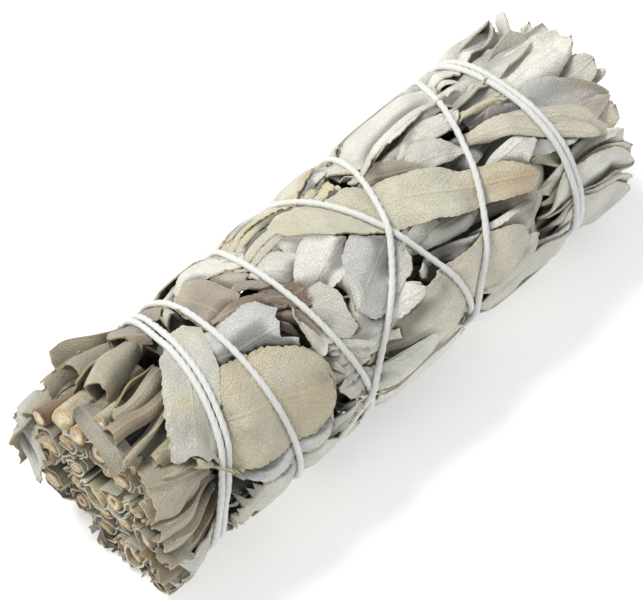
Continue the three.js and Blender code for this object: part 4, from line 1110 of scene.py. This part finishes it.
    # thick folded margins and bands of the middle
    layRoll(46, 4.8, "light", 1.6, [(62.5, -15, 15.0), (72, -16.5, 15.8), (78, -19.5, 16.0),
            (84, -25, 16.0), (92, -21, 15.0)], jag=0, taper=(0.8, 1))
    layRoll(47, 5.0, "light", 1.3, [(46, 13, 16.6), (48.8, 20, 17.4), (49.2, 30, 17.3), (46.5, 40, 16.3)],
            jag=0.2)
    layRoll(71, 7.5, "light", 0.4, [(55, 41, 15.6), (61, 34, 16.1), (68, 30, 15.6)], bends="folded",
            jag=0.2)
    layRoll(48, 4.4, "light", 1.5, [(38.5, 49, 15.9), (42, 54, 16.5), (49, 61, 15.7)], jag=0.1)
    layRoll(49, 3.8, "beige", 1.6, [(35, 43, 15.5), (38.5, 56, 16.5), (46, 63, 15.6)], jag=0.1)
    layRoll(50, 4.2, "light", 1.5, [(39, 41, 15.6), (44, 50, 16.6), (51, 62, 15.7)], jag=0.1)
    layRoll(51, 5.8, "brown", 1.4, [(30, -6, 15.7), (36, 3, 16.6), (43.5, 12.5, 15.9)], jag=0.4, shade=1.0)
    layRoll(52, 4.8, "brown", 1.5, [(36.5, 12, 15.8), (40, 23, 16.5), (40.5, 35, 15.7)], jag=0.3,
            shade=1.05)
    # broad blades at the tip
    layRoll(61, 14, "light", 0.3, [(77, -68, 14.8), (90, -70, 15.7), (104, -68, 14.4)], rounded=True,
            taper=(0.7, 1), jag=0.2)
    layRoll(62, 13, "light", 0.4, [(79, -52, 14.6), (91, -55, 15.5), (105.5, -58, 13.7)], rounded=True,
            jag=0.3)
    layRoll(63, 12, "light", 0.45, [(81, -38, 14.4), (92, -42, 15.5), (106.8, -46, 13.2)], rounded=True,
            jag=0.3)
    layRoll(64, 12, "light", 0.5, [(82, -26, 14.4), (93, -27, 15.3), (107.3, -31, 12.8)], rounded=True,
            jag=0.3)
    layRoll(65, 11.5, "light", 0.5, [(83, -14, 14.2), (94, -12, 15.1), (107.6, -14, 12.6)], rounded=True,
            taper=(0.5, 1), jag=0.3)
    layRoll(66, 9, "light", 0.5, [(84, -4, 14.2), (95, 0, 14.9), (107.0, 2, 12.6)], bends="rollRight",
            rounded=True, taper=(0.5, 1))
    # a rolled leaf across the tip
    layRoll(53, 7.6, "beige", 1.35, [(78.5, -1, 14.4), (87, 11, 14.9), (95.5, 28, 14.7), (102.5, 54, 13.9)],
            taper=(0.4, 1), jag=0.2, shade=1.05)
    layRoll(28, 13, "grey", 2.3, [(14.0, 124, 14.0), (7.0, 125, 14.0), (2.0, 126, 13.6)], jag=0.4,
            shade=0.8)


layAll()
layRolls()
print("laid", len(laid), "leaves")

# the binding presses the leaves: every height is drawn in by its place on the map
binding = {
    "firstLeaf": 7, "evened": 60, "evenedWide": 200, "wideShare": 0.25, "wideAtCut": 0.7,
    "underString": 0.7, "hollow": 2.6, "hollowTo": 17.5, "hollowTurns": (-84, 90), "above": 0.4,
    "least": 0.02, "relief": 0.55,
}
core = bedAt(mapAlong, mapArc)
pile = height.copy()
firstCell = np.searchsorted(alongCells, binding["firstLeaf"])
pile[:firstCell] = height[firstCell:firstCell + 4].max(axis=0)
pile = soften(pile, binding["evened"], wrap=True)
wide = soften(pile, binding["evenedWide"], wrap=True)
# rolls near the cut keep more of their height
atCut = smooth((24 - mapAlong) / 8)
pile = pile + (wide - pile) * (binding["wideShare"] + binding["wideAtCut"] * atCut)
target = profileAt(mapAlong)
flatter = (1 - smooth((fromBottom(mapArc) - 0.35) / 0.5)) * (target > bunch["underside"])
target = target - (target - bunch["underside"]) * flatter
# the rolls at the cut lie over a lower bed on the shown side
turned = np.mod(turnOf(mapArc) + 180, 360) - 180
first, last = binding["hollowTurns"]
hollowed = smooth((binding["hollowTo"] - mapAlong) / 5)
hollowed = hollowed * smooth((turned - first) / 12) * (1 - smooth((turned - last) / 12))
target = np.minimum(target - binding["underString"] - binding["hollow"] * hollowed, pile + binding["above"])
standing = np.round(np.percentile(pile[20:270], [5, 25, 50, 75, 95]), 1)
print("the leaves stand at", standing, "mm before they are bound")


def drawnIn(radius, piled, wanted):
    # the relief is kept, a little flatter, about the wanted level
    return np.maximum(wanted + (radius - piled) * bunch["reliefShare"], radius * binding["relief"])


core = drawnIn(core, pile, target)
pressed = drawnIn(height, pile, target)


def evened(line, weights):
    return np.convolve(np.pad(line, len(weights) // 2, "edge"), weights / weights.sum(), "valid")


def layString():
    # taut: nowhere below the straight line between its neighbours
    along, arc = routeLine[:, 0], routeLine[:, 1]
    offsets = [(da, dy) for da in (-0.4, 0, 0.4) for dy in (-0.4, 0, 0.4)]
    ground = np.mean([sampleMap(pressed, along + da, arc + dy) for da, dy in offsets], axis=0)
    ground = evened(ground, np.ones(string["evenedOver"]))
    level = profileAt(along) + 0.05 - string["underside"] * (1 - smooth((fromBottom(arc) - 0.3) / 0.5))
    share = string["leafShare"]
    ground = clamp(share * ground + (1 - share) * level, level - string["below"], level + string["above"])
    sag = string["step"] ** 2 / (2 * bunch["layRadius"])
    radius, lifted = ground.copy(), ground.copy()
    # where it crosses or runs beside an earlier stretch
    for _ in range(2):
        for i in range(string["apart"] + 10, len(along)):
            before = slice(0, i - string["apart"])
            distance = np.hypot(along[before] - along[i], wrapped(arc[before] - arc[i]))
            near = distance < string["diameter"]
            if near.any():
                rise = np.sqrt(string["diameter"] ** 2 - distance[near] ** 2) * string["crossing"]
                lifted[i] = max(lifted[i], (radius[before][near] + rise).max())
        radius = lifted.copy()
        for _ in range(string["pulls"]):
            radius[1:-1] = np.maximum(radius[1:-1], (radius[2:] + radius[:-2]) / 2 - sag)
    return evened(radius, np.hanning(15))


stringRadius = layString()


def pinchMap():
    # under the string the leaves are held down to its own height
    level = np.full(height.shape, 99.0)
    for (along, arc), radius in list(zip(routeLine, stringRadius))[::2]:
        cells, rows, distance = cellsNear(along, arc, string["holdReach"])
        beside = np.maximum(0, distance - string["holdWidth"]) ** string["slopePower"]
        allowed = radius - string["diameter"] * string["bite"] + beside * string["slope"]
        level[cells, rows] = np.minimum(level[cells, rows], allowed)
    return level


pinchLevel = pinchMap()
pinch = (np.minimum(pressed, pinchLevel) - core) / np.maximum(pressed - core, 0.05)
pinch = clamp(pinch, binding["least"], 1)


# the outermost margins are held in softly, more so at both sides: those as turn, spread
heldIn = {
    "top": 17.3, "room": 1.65, "ease": 1.5, "sides": [(285, 32), (118, 26)],
    "sideTop": 0.4, "sideRoom": 0.55, "from": 16, "fade": 6,
}


def settledRadius(along, arc, radius):
    radius = drawnIn(radius, sampleMap(pile, along, arc), sampleMap(target, along, arc))
    bed = sampleMap(core, along, arc)
    radius = np.where(radius > bed, bed + (radius - bed) * sampleMap(pinch, along, arc), radius)
    turn = turnOf(np.mod(arc, surface["round"]))
    side = np.max([np.exp(-((turn - middle) / spread) ** 2) for middle, spread in heldIn["sides"]], axis=0)
    side = side * smooth((along - heldIn["from"]) / heldIn["fade"])
    top, room = heldIn["top"] - heldIn["sideTop"] * side, heldIn["room"] - heldIn["sideRoom"] * side
    return np.where(radius > top, top + room * np.tanh((radius - top) / (room * heldIn["ease"])), radius)


# sprigs: each has its stem, its share of the leaves and its cut sheets
ringEnds = {"middle": 3, "inner": 8}
# stems ring by ring: turn, distance from the axis, diameter, along of the cut, kind
rings = [
    [(0, 0, 3.9, 2.2, "pale")],
    [(180, 5.6, 2.4, 3.4, "plain"), (-112, 5.6, 2.4, 2.6, "hollow"), (-58, 5.5, 2.2, 2.4, "plain"),
     (4, 5.5, 2.4, 4.4, "plain"), (48, 5.5, 3.2, 2, "hollow"), (114, 5.6, 2.6, 2.8, "plain")],
    [(180, 10.8, 2.6, 3.2, "plain"), (-150, 10.8, 2.6, 3.4, "hollow"), (-120, 11, 3.3, 1.4, "plain"),
     (-92, 10.8, 2.8, 1.6, "hollow"), (-60, 10.6, 3.4, 1.2, "plain"), (-33, 10.8, 3.1, 2, "hollow"),
     (0, 11, 3.3, 3.6, "hollow"), (28, 11, 2.7, 3, "plain"), (55, 10.8, 2.6, 2.2, "hollow"),
     (84, 11, 2.7, 2, "plain"), (127, 10.9, 2.9, 1.6, "plain"), (152, 10.8, 2.5, 2.8, "hollow")],
]
# stems bent outwards lie in the open near the cut: from and to (along, turn, radius), diameter, kind
looseStems = [
    ((5.0, -5.5, 15.7), (13.5, -18, 11.6), 3.0, "white"), ((3.2, -31, 14.8), (13, -47, 12.6), 3.6, "pale"),
    ((1.8, -49, 15.4), (12, -58, 12.6), 3.2, "dark"), ((4.4, 25, 14.4), (11, 16, 12.5), 2.0, "plain"),
    ((2.6, -17, 13.4), (11, -22, 11.5), 2.8, "plain"),
]
sprigs = []
for ring in rings:
    for k, stem in enumerate(ring):
        turn = 360 / len(ring) * k - 180 if len(ring) > 1 else 0
        node = "sprig_%02d" % (len(sprigs) + 1)
        sprigs.append({"node": node, "turn": turn, "stem": stem, "gathered": Gathered()})
inner, outer = sprigs[1:7], sprigs[7:]


def sprigAt(turn, radius):
    if radius < ringEnds["middle"]:
        return sprigs[0]
    near = outer if radius > ringEnds["inner"] else inner
    return min(near, key=lambda sprig: abs((sprig["turn"] - turn + 180) % 360 - 180))


def offAxis(turn, out):
    return -out * math.sin(math.radians(turn)), out * math.cos(math.radians(turn))


# how a cut stem looks: depth and share of its pith, and the colours that differ from a plain one's
stemColours = {"pith": (0.72, 0.66, 0.50), "wood": (0.66, 0.55, 0.36), "grain": (0.50, 0.38, 0.22),
               "bark": (0.42, 0.31, 0.19), "skin": (0.50, 0.46, 0.33)}
stemKinds = {
    "plain": (0.15, 0.3, {}),
    # hollow stems: the sunken pith is coloured dark brown, as painted shade in the hole
    "hollow": (1.3, 0.42, {"pith": (0.16, 0.11, 0.07)}),
    "pale": (0.05, 0.5, {"pith": (0.74, 0.66, 0.47), "wood": (0.70, 0.60, 0.40), "bark": (0.55, 0.44, 0.27)}),
    "white": (0.25, 0.62, {"pith": (0.80, 0.77, 0.70), "wood": (0.62, 0.52, 0.36)}),
    "dark": (0.1, 0.35, {"grain": (0.30, 0.20, 0.12), "bark": (0.20, 0.13, 0.08),
                         "skin": (0.26, 0.19, 0.13)}),
}


def addStem(gathered, diameter, kind, seed, placeIn):
    # a stem along x from its cut face at zero, which placeIn brings into the frame
    random = np.random.default_rng(seed)
    sides = 30
    around = np.linspace(0, 2 * math.pi, sides, endpoint=False)
    lobes = 1 + 0.05 * np.sin(4 * around + random.uniform(0, 6))
    lobes += 0.04 * np.sin(2 * around + random.uniform(0, 6))
    tilt = random.uniform(-0.25, 0.25, 2)
    depth, pith, own = stemKinds[kind]
    colours = {**stemColours, **own}
    # from the middle of the cut face outwards, then back along the bark: share of the radius, depth, part
    steps = [(0.02, depth, "pith"), (pith * 0.8, depth, "pith"), (pith, depth * 0.6, "pith"),
             (pith * 1.05, 0, "wood"), (0.62 if pith < 0.6 else 0.72, 0.05, "wood"), (0.8, -0.06, "grain"),
             (0.9, 0.0, "bark"), (0.985, 0.08, "bark"), (1.0, 0.25, "bark"), (1.0, 1.0, "skin"),
             (1.02, 2.5, "skin"), (1.0, 5, "skin"), (1.0, 10, "skin")]
    grid, tints = [], []
    for share, back, part in steps:
        r = diameter / 2 * share * (1 + (lobes - 1) * share)
        rough = random.uniform(-0.07, 0.07, sides) * (share > 0.3) * (back < 0.6)
        x = back + (tilt[0] * np.cos(around) + tilt[1] * np.sin(around)) * r * (back < 3) + rough
        grid.append(np.stack([x, r * np.cos(around), r * np.sin(around)], -1))
        tints.append(np.array(colours[part])[None] * random.uniform(0.85, 1.1, (sides, 1)))
    place = np.stack(np.meshgrid(np.arange(len(steps)), around, indexing="ij"), -1) / 100
    gathered.addGrid(placeIn(np.array(grid)), np.array(tints), place, closed=True, slot=1)


def addStems():
    for number, sprig in enumerate(sprigs):
        turn, out, diameter, start, kind = sprig["stem"]
        y, z = offAxis(turn, out)
        addStem(sprig["gathered"], diameter, kind, 40 + number,
                lambda grid: fromEnd(grid[..., 0] + start, grid[..., 1] + y, grid[..., 2] + z))
    for number, (first, last, diameter, kind) in enumerate(looseStems):
        start, stop = (toFrame(along, arcOf(turn), radius) for along, turn, radius in (first, last))
        ahead = unit(stop - start)
        outward = unit(np.cross(ahead, np.cross(start - [start[0], 0, bunch["axisHeight"]], ahead)))
        axes = np.array([ahead, np.cross(ahead, outward), outward])
        addStem(sprigAt(first[1], bunch["layRadius"])["gathered"], diameter, kind, 70 + number,
                lambda grid: start + grid @ axes)


addStems()

# folded leaf bases fill the cut end between the stems, seen edge on
cutEnd = {
    "cell": 0.14, "half": 18, "reach": 16.0, "shownReach": 14.1, "tries": 4200, "longTries": 2600,
    "layers": 5, "layerTries": 14, "firstLayer": 0.42, "layerStep": 0.46, "thickness": 0.32, "gap": 0.06,
    "depth": 12, "shade": 0.85, "shadeDepth": 3.2, "orangeAt": (-0.7, -4), "orangeReach": 1.9,
    "tones": ["grey", "beige", "green", "beige", "taupe", "tan", "stalk", "stalk", "light", "taupe"],
    "rims": ["tan", "beige", "stalk"],
}
cutCount = int(2 * cutEnd["half"] / cutEnd["cell"])
taken = np.zeros((cutCount, cutCount), bool)


def cutCell(value):
    return (np.asarray(value) + cutEnd["half"]) / cutEnd["cell"]


def cellsOf(points, widen):
    steps = np.arange(-widen, widen + 1e-6, cutEnd["cell"])
    near = [(dy, dz) for dy in steps for dz in steps if dy * dy + dz * dz <= widen * widen * 1.05]
    found = np.concatenate([np.floor(cutCell(points + np.array(offset))).astype(int) for offset in near])
    return tuple(clamp(found, 0, cutCount - 1).T)


def fitsIn(line):
    # takes the room for a folded sheet on the cut face, if it is free
    turn = np.degrees(np.arctan2(-line[:, 0], line[:, 1]))
    reach = np.where((turn > -80) & (turn < 98), cutEnd["shownReach"], cutEnd["reach"])
    if (np.hypot(line[:, 0], line[:, 1]) > reach).any():
        return False
    if taken[cellsOf(line, cutEnd["thickness"] / 2 + cutEnd["gap"])].any():
        return False
    taken[cellsOf(line, cutEnd["thickness"] / 2)] = True
    return True


def claspingBases(random):
    # leaf bases clasp their stems, layer on layer
    for layer in range(cutEnd["layers"]):
        for sprig in sprigs:
            turn, out, diameter, start, _ = sprig["stem"]
            radius = diameter / 2 + cutEnd["firstLayer"] + cutEnd["layerStep"] * layer
            radius += random.uniform(0, 0.12)
            for attempt in range(cutEnd["layerTries"]):
                span = random.uniform(3.2, 5.6) if attempt < 4 else random.uniform(0.8, 2.6)
                first = random.uniform(0, 2 * math.pi)
                angle = first + np.linspace(0, span, max(6, int(span * radius / 0.18)))
                wave = radius * (1 + 0.05 * np.sin(angle * 3 + layer) + 0.03 * np.sin(angle * 7 + first))
                line = offAxis(turn, out) + np.stack([np.cos(angle), np.sin(angle)], -1) * wave[:, None]
                if fitsIn(line):
                    yield line, start + random.uniform(-0.5, 0.9) + 0.1 * layer, sprig


def foldedBlades(random):
    # folded blades fill what is left
    for attempt in range(cutEnd["tries"]):
        ring = math.sqrt(random.random()) * cutEnd["reach"]
        turn = random.uniform(0, 2 * math.pi)
        long = random.uniform(4.0, 9.0) if attempt < cutEnd["longTries"] else random.uniform(1.4, 4.0)
        if ring > 5:
            heading = turn + random.normal(0, 0.5) + math.pi * random.integers(2)
        else:
            heading = random.uniform(0, 2 * math.pi)
        shape = random.integers(4)
        s = np.linspace(-1, 1, int(long / 0.2))
        if shape == 0:      # wrapped round its neighbour
            bendBy = s * random.uniform(0.4, 1.6)
        elif shape == 1:    # folded in two
            bendBy = (smooth(s / 0.24 + 0.5) - 0.5) * random.uniform(2.4, 3.0)
        elif shape == 2:    # wavy
            bendBy = np.sin(s * random.uniform(2, 5) + random.uniform(0, 6)) * random.uniform(0.3, 0.9)
        else:               # rolled edge
            bendBy = s * 0.4 + smooth((s - 0.3) / 0.7) * random.uniform(1.5, 3.4)
        direction = heading + bendBy
        line = np.cumsum(np.stack([-np.cos(direction), -np.sin(direction)], -1) * long / len(s), axis=0)
        line = line + offAxis(math.degrees(turn), ring) - line[len(s) // 2]
        if fitsIn(line):
            middle = line[len(line) // 2]
            sprig = sprigAt(math.degrees(math.atan2(-middle[0], middle[1])), np.hypot(*middle))
            yield line, sprig["stem"][3] + random.uniform(-0.3, 1.5), sprig


def addCutSheets():
    random = np.random.default_rng(5)
    yy, zz = np.meshgrid(np.arange(cutCount), np.arange(cutCount), indexing="ij")
    for sprig in sprigs:
        turn, out, diameter, _, _ = sprig["stem"]
        y, z = (cutCell(value) for value in offAxis(turn, out))
        taken[(yy - y) ** 2 + (zz - z) ** 2 < ((diameter / 2 + 0.15) / cutEnd["cell"]) ** 2] = True
    lines = list(claspingBases(random)) + list(foldedBlades(random))
    rows = np.concatenate([[0, 0.25, 0.7, 1.4], np.linspace(2.6, cutEnd["depth"], 5)])[:, None]
    for line, front, sprig in lines:
        count = len(line)
        s = np.linspace(-1, 1, count)
        jag = np.interp(s, np.linspace(-1, 1, 5), random.uniform(-0.35, 0.35, 5))
        jag = jag + random.uniform(-0.05, 0.05, count)
        drift = random.normal(0, 0.02, 2)
        grid = fromEnd(front + rows + jag * np.exp(-rows / 2), line[:, 0] + drift[0] * rows,
                       line[:, 1] + drift[1] * rows)
        orange = np.hypot(*(line.mean(axis=0) - cutEnd["orangeAt"])) < cutEnd["orangeReach"]
        tint = palette["rust" if orange else anyOf(random, cutEnd["tones"])] * random.uniform(0.54, 0.9)
        # painted shade: each sheet darkens deeper into the cut end
        shade = 1 - cutEnd["shade"] * smooth(rows / cutEnd["shadeDepth"])
        colour = tint * shade[..., None] * np.ones((1, count, 1))
        rim = palette["rust" if orange else anyOf(random, cutEnd["rims"])] * random.uniform(0.76, 1.02)
        place = np.stack(np.broadcast_arrays(rows, s * count * 0.1 + 30), -1) / 100
        addSheet(sprig["gathered"], grid, cutEnd["thickness"], colour, rim, place)
    print("cut end sheets", len(lines))


addCutSheets()

packed = {"from": 9.0, "to": 99.0, "rows": 70, "columns": 90, "below": 0.25}


def addCore():
    # the imported inside of the bunch, coloured near black as painted shade between the leaves
    gathered = Gathered()
    along = np.concatenate([[packed["from"]], np.linspace(packed["from"], packed["to"], packed["rows"])])
    arc = np.linspace(0, surface["round"], packed["columns"], endpoint=False)
    alongGrid, arcGrid = np.meshgrid(along, arc, indexing="ij")
    grid = toFrame(alongGrid, arcGrid, sampleMap(core, alongGrid, arcGrid) - packed["below"])

    def closeEnd(ring):
        return (ring - ring.mean(axis=0)) * 0.02 + ring.mean(axis=0)

    grid = np.concatenate([closeEnd(grid[0])[None], grid[1:], closeEnd(grid[-1])[None]])
    tint = palette["dark"] * (0.9 + 0.25 * np.sin(np.arange(packed["columns"]) * 0.9)[None, :, None])
    place = np.stack(np.meshgrid(np.arange(len(grid)) * 1.3, arc, indexing="ij"), -1) / 100
    gathered.addGrid(grid, np.broadcast_to(tint, grid.shape), place, closed=True)
    return gathered


tipLeaf = {
    "rings": ((1.5, 3), (4.5, 6), (7.5, 9), (10.5, 12)),  # distance from the axis, count
    "from": 84, "to": 105.6, "rows": 34, "columns": 15, "thickness": 0.34,
    "tones": ["grey", "light", "beige", "blue", "light", "lilac", "green"],
}


def addTipLeaves():
    # the inner sprigs' leaf tips, which fill the blunt end
    random = np.random.default_rng(17)
    t = np.linspace(0, 1, tipLeaf["rows"])[:, None]
    v = np.linspace(-1, 1, tipLeaf["columns"])[None]
    for ring, count in tipLeaf["rings"]:
        for k in range(count):
            turn = math.radians(360 / count * (k + random.uniform(0.2, 0.8)))
            width = random.uniform(6.5, 9.5)
            half = width / 2 * np.sqrt(np.maximum(0, 1 - t ** 6)) * (0.7 + 0.3 * smooth(t / 0.4))
            end = tipLeaf["to"] - 0.02 * ring ** 2 - random.uniform(0, 3.0)
            gone = (end - tipLeaf["from"]) * t + 0 * v
            curl = random.uniform(0.3, 1.5)
            side = half / curl * np.sin(v * curl) + 0.25 * np.sin(t * 9 + 3 * v + k)
            out = ring + half / curl * (np.cos(v * curl) - 1)
            out = out + 0.5 * np.sin(t * 7 + v * 2 + random.uniform(0, 6)) * t
            out = out - 2.2 * smooth((t - 0.5) / 0.5) * (ring / 10)
            out = out + random.uniform(-0.6, 1.2) * smooth((t - 0.7) / 0.3)
            grid = fromEnd(tipLeaf["from"] + gone, -(out * math.sin(turn) + side * math.cos(turn)),
                           out * math.cos(turn) - side * math.sin(turn))
            tint = palette[anyOf(random, tipLeaf["tones"])] * random.uniform(0.85, 1.05)
            colour = blend(tint, 0.4 * np.exp(-(1 - np.abs(v)) * half / 0.3), "tan")
            place = np.stack([gone, v * half], -1) / 100
            sprig = sprigAt(math.degrees(turn), ring)
            addSheet(sprig["gathered"], grid, tipLeaf["thickness"], colour, colour * [0.8, 0.7, 0.6], place)


addTipLeaves()


def addLeaves():
    # painted shade darkens a blade where it lies below its surroundings
    crest = soften(height, 14, wrap=True)
    for blade in laid:
        along, arc, radius, tint = blade["along"], blade["arc"], blade["radius"], blade["tint"]
        if blade["placed"]:
            radius = np.minimum(radius, sampleMap(pinchLevel, along, arc) - 0.12)
        else:
            below = sampleMap(crest, along, arc) - radius
            # painted shade, deeper the lower the blade lies below the smoothed crest
            tint = tint * (1 - blade["gapShade"] * smooth((below - 0.3) / 2.0))[..., None]
            radius = settledRadius(along, arc, radius)
        gathered = sprigAt(blade["turn"], bunch["layRadius"])["gathered"]
        grid = toFrame(along, arc, radius)
        addSheet(gathered, grid, blade["thickness"], tint, blade["rim"], blade["place"])


addLeaves()


def sweepString(gathered, centre):
    # strands laid round each other along a line
    ahead = unit(np.gradient(centre, axis=0))
    outward = (centre - [0, 0, bunch["axisHeight"]]) * [0, 1, 1]
    outward = unit(outward - ahead * (outward * ahead).sum(1, keepdims=True))
    aside = np.cross(ahead, outward)
    gone = lengthAlong(centre)[:, None]
    around = np.linspace(0, 2 * math.pi, string["sides"], endpoint=False)[None]
    spin = 2 * math.pi * gone / string["pitch"]
    lobes = np.abs(np.cos(string["strands"] / 2 * (around - spin)))
    uneven = 1 + 0.05 * np.sin(gone * 0.9) * np.sin(gone * 0.23 + 1) + 0.03 * np.sin(gone * 2.3)
    radius = string["diameter"] / 2 * (string["body"] + string["strandRise"] * lobes ** 0.75) * uneven
    ring = np.cos(around)[..., None] * outward[:, None] + np.sin(around)[..., None] * aside[:, None]
    grid = centre[:, None] + radius[..., None] * ring
    place = np.stack(np.broadcast_arrays(gone, (around - spin) * 0.5), -1) / 100
    gathered.addGrid(grid, np.ones(3), place, closed=True)
    for end, order in ((0, -1), (-1, 1)):
        cap = np.stack([grid[end], grid[end] * 0.05 + centre[end] * 0.95], 0)[::order]
        gathered.addGrid(cap, np.ones(3), np.zeros(2), closed=True)


def addString():
    gathered = Gathered()
    centre = toFrame(routeLine[:, 0], routeLine[:, 1], stringRadius)
    centre[:, 2] = np.maximum(centre[:, 2], string["lowest"])
    sweepString(gathered, centre)
    # the knot, where both ends meet
    meet = (centre[0] + centre[-1]) / 2
    outward = unit((meet - [0, 0, bunch["axisHeight"]]) * [0, 1, 1])
    ahead = np.array([1.0, 0, 0])
    aside = np.cross(outward, ahead)
    t = np.linspace(0, 2 * math.pi, 160)[:, None]
    knot = (np.sin(t) + 2 * np.sin(2 * t)) * ahead + (np.cos(t) - 2 * np.cos(2 * t)) * aside
    sweepString(gathered, meet + outward + (knot - np.sin(3 * t) * outward) * string["knot"])
    t = np.linspace(0, 1, 30)[:, None]
    for way in (1, -1):
        tail = meet + outward * 0.9 * (1 - t) + aside * way * string["tail"] * t + ahead * 2.2 * way * t ** 2
        fromAxis = np.hypot(tail[:, 1], tail[:, 2] - bunch["axisHeight"])
        lift = np.maximum(0, fromAxis[0] + 0.4 - fromAxis)
        tail[:, 1:] += (tail[:, 1:] - [0, bunch["axisHeight"]]) / fromAxis[:, None] * lift[:, None]
        sweepString(gathered, tail)
    return gathered


# the finished pieces
def finishPiece(gathered, name, materials, nodes):
    piece = gathered.build(name, materials)
    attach(piece, "root")
    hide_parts(*nodes)
    triangles = 2 * len(piece.data.polygons)
    print(name, triangles, "triangles")
    return triangles


total = 0
for sprig in sprigs:
    name = "sage" + sprig["node"].replace("sprig_", "Sprig")
    total += finishPiece(sprig["gathered"], name, [leafMaterial, stemMaterial], [sprig["node"]])
total += finishPiece(addCore(), "packedCore", [leafMaterial], [sprig["node"] for sprig in sprigs[:7]])
total += finishPiece(addString(), "cottonString", [stringMaterial], ["string"])
print("total", total, "triangles")
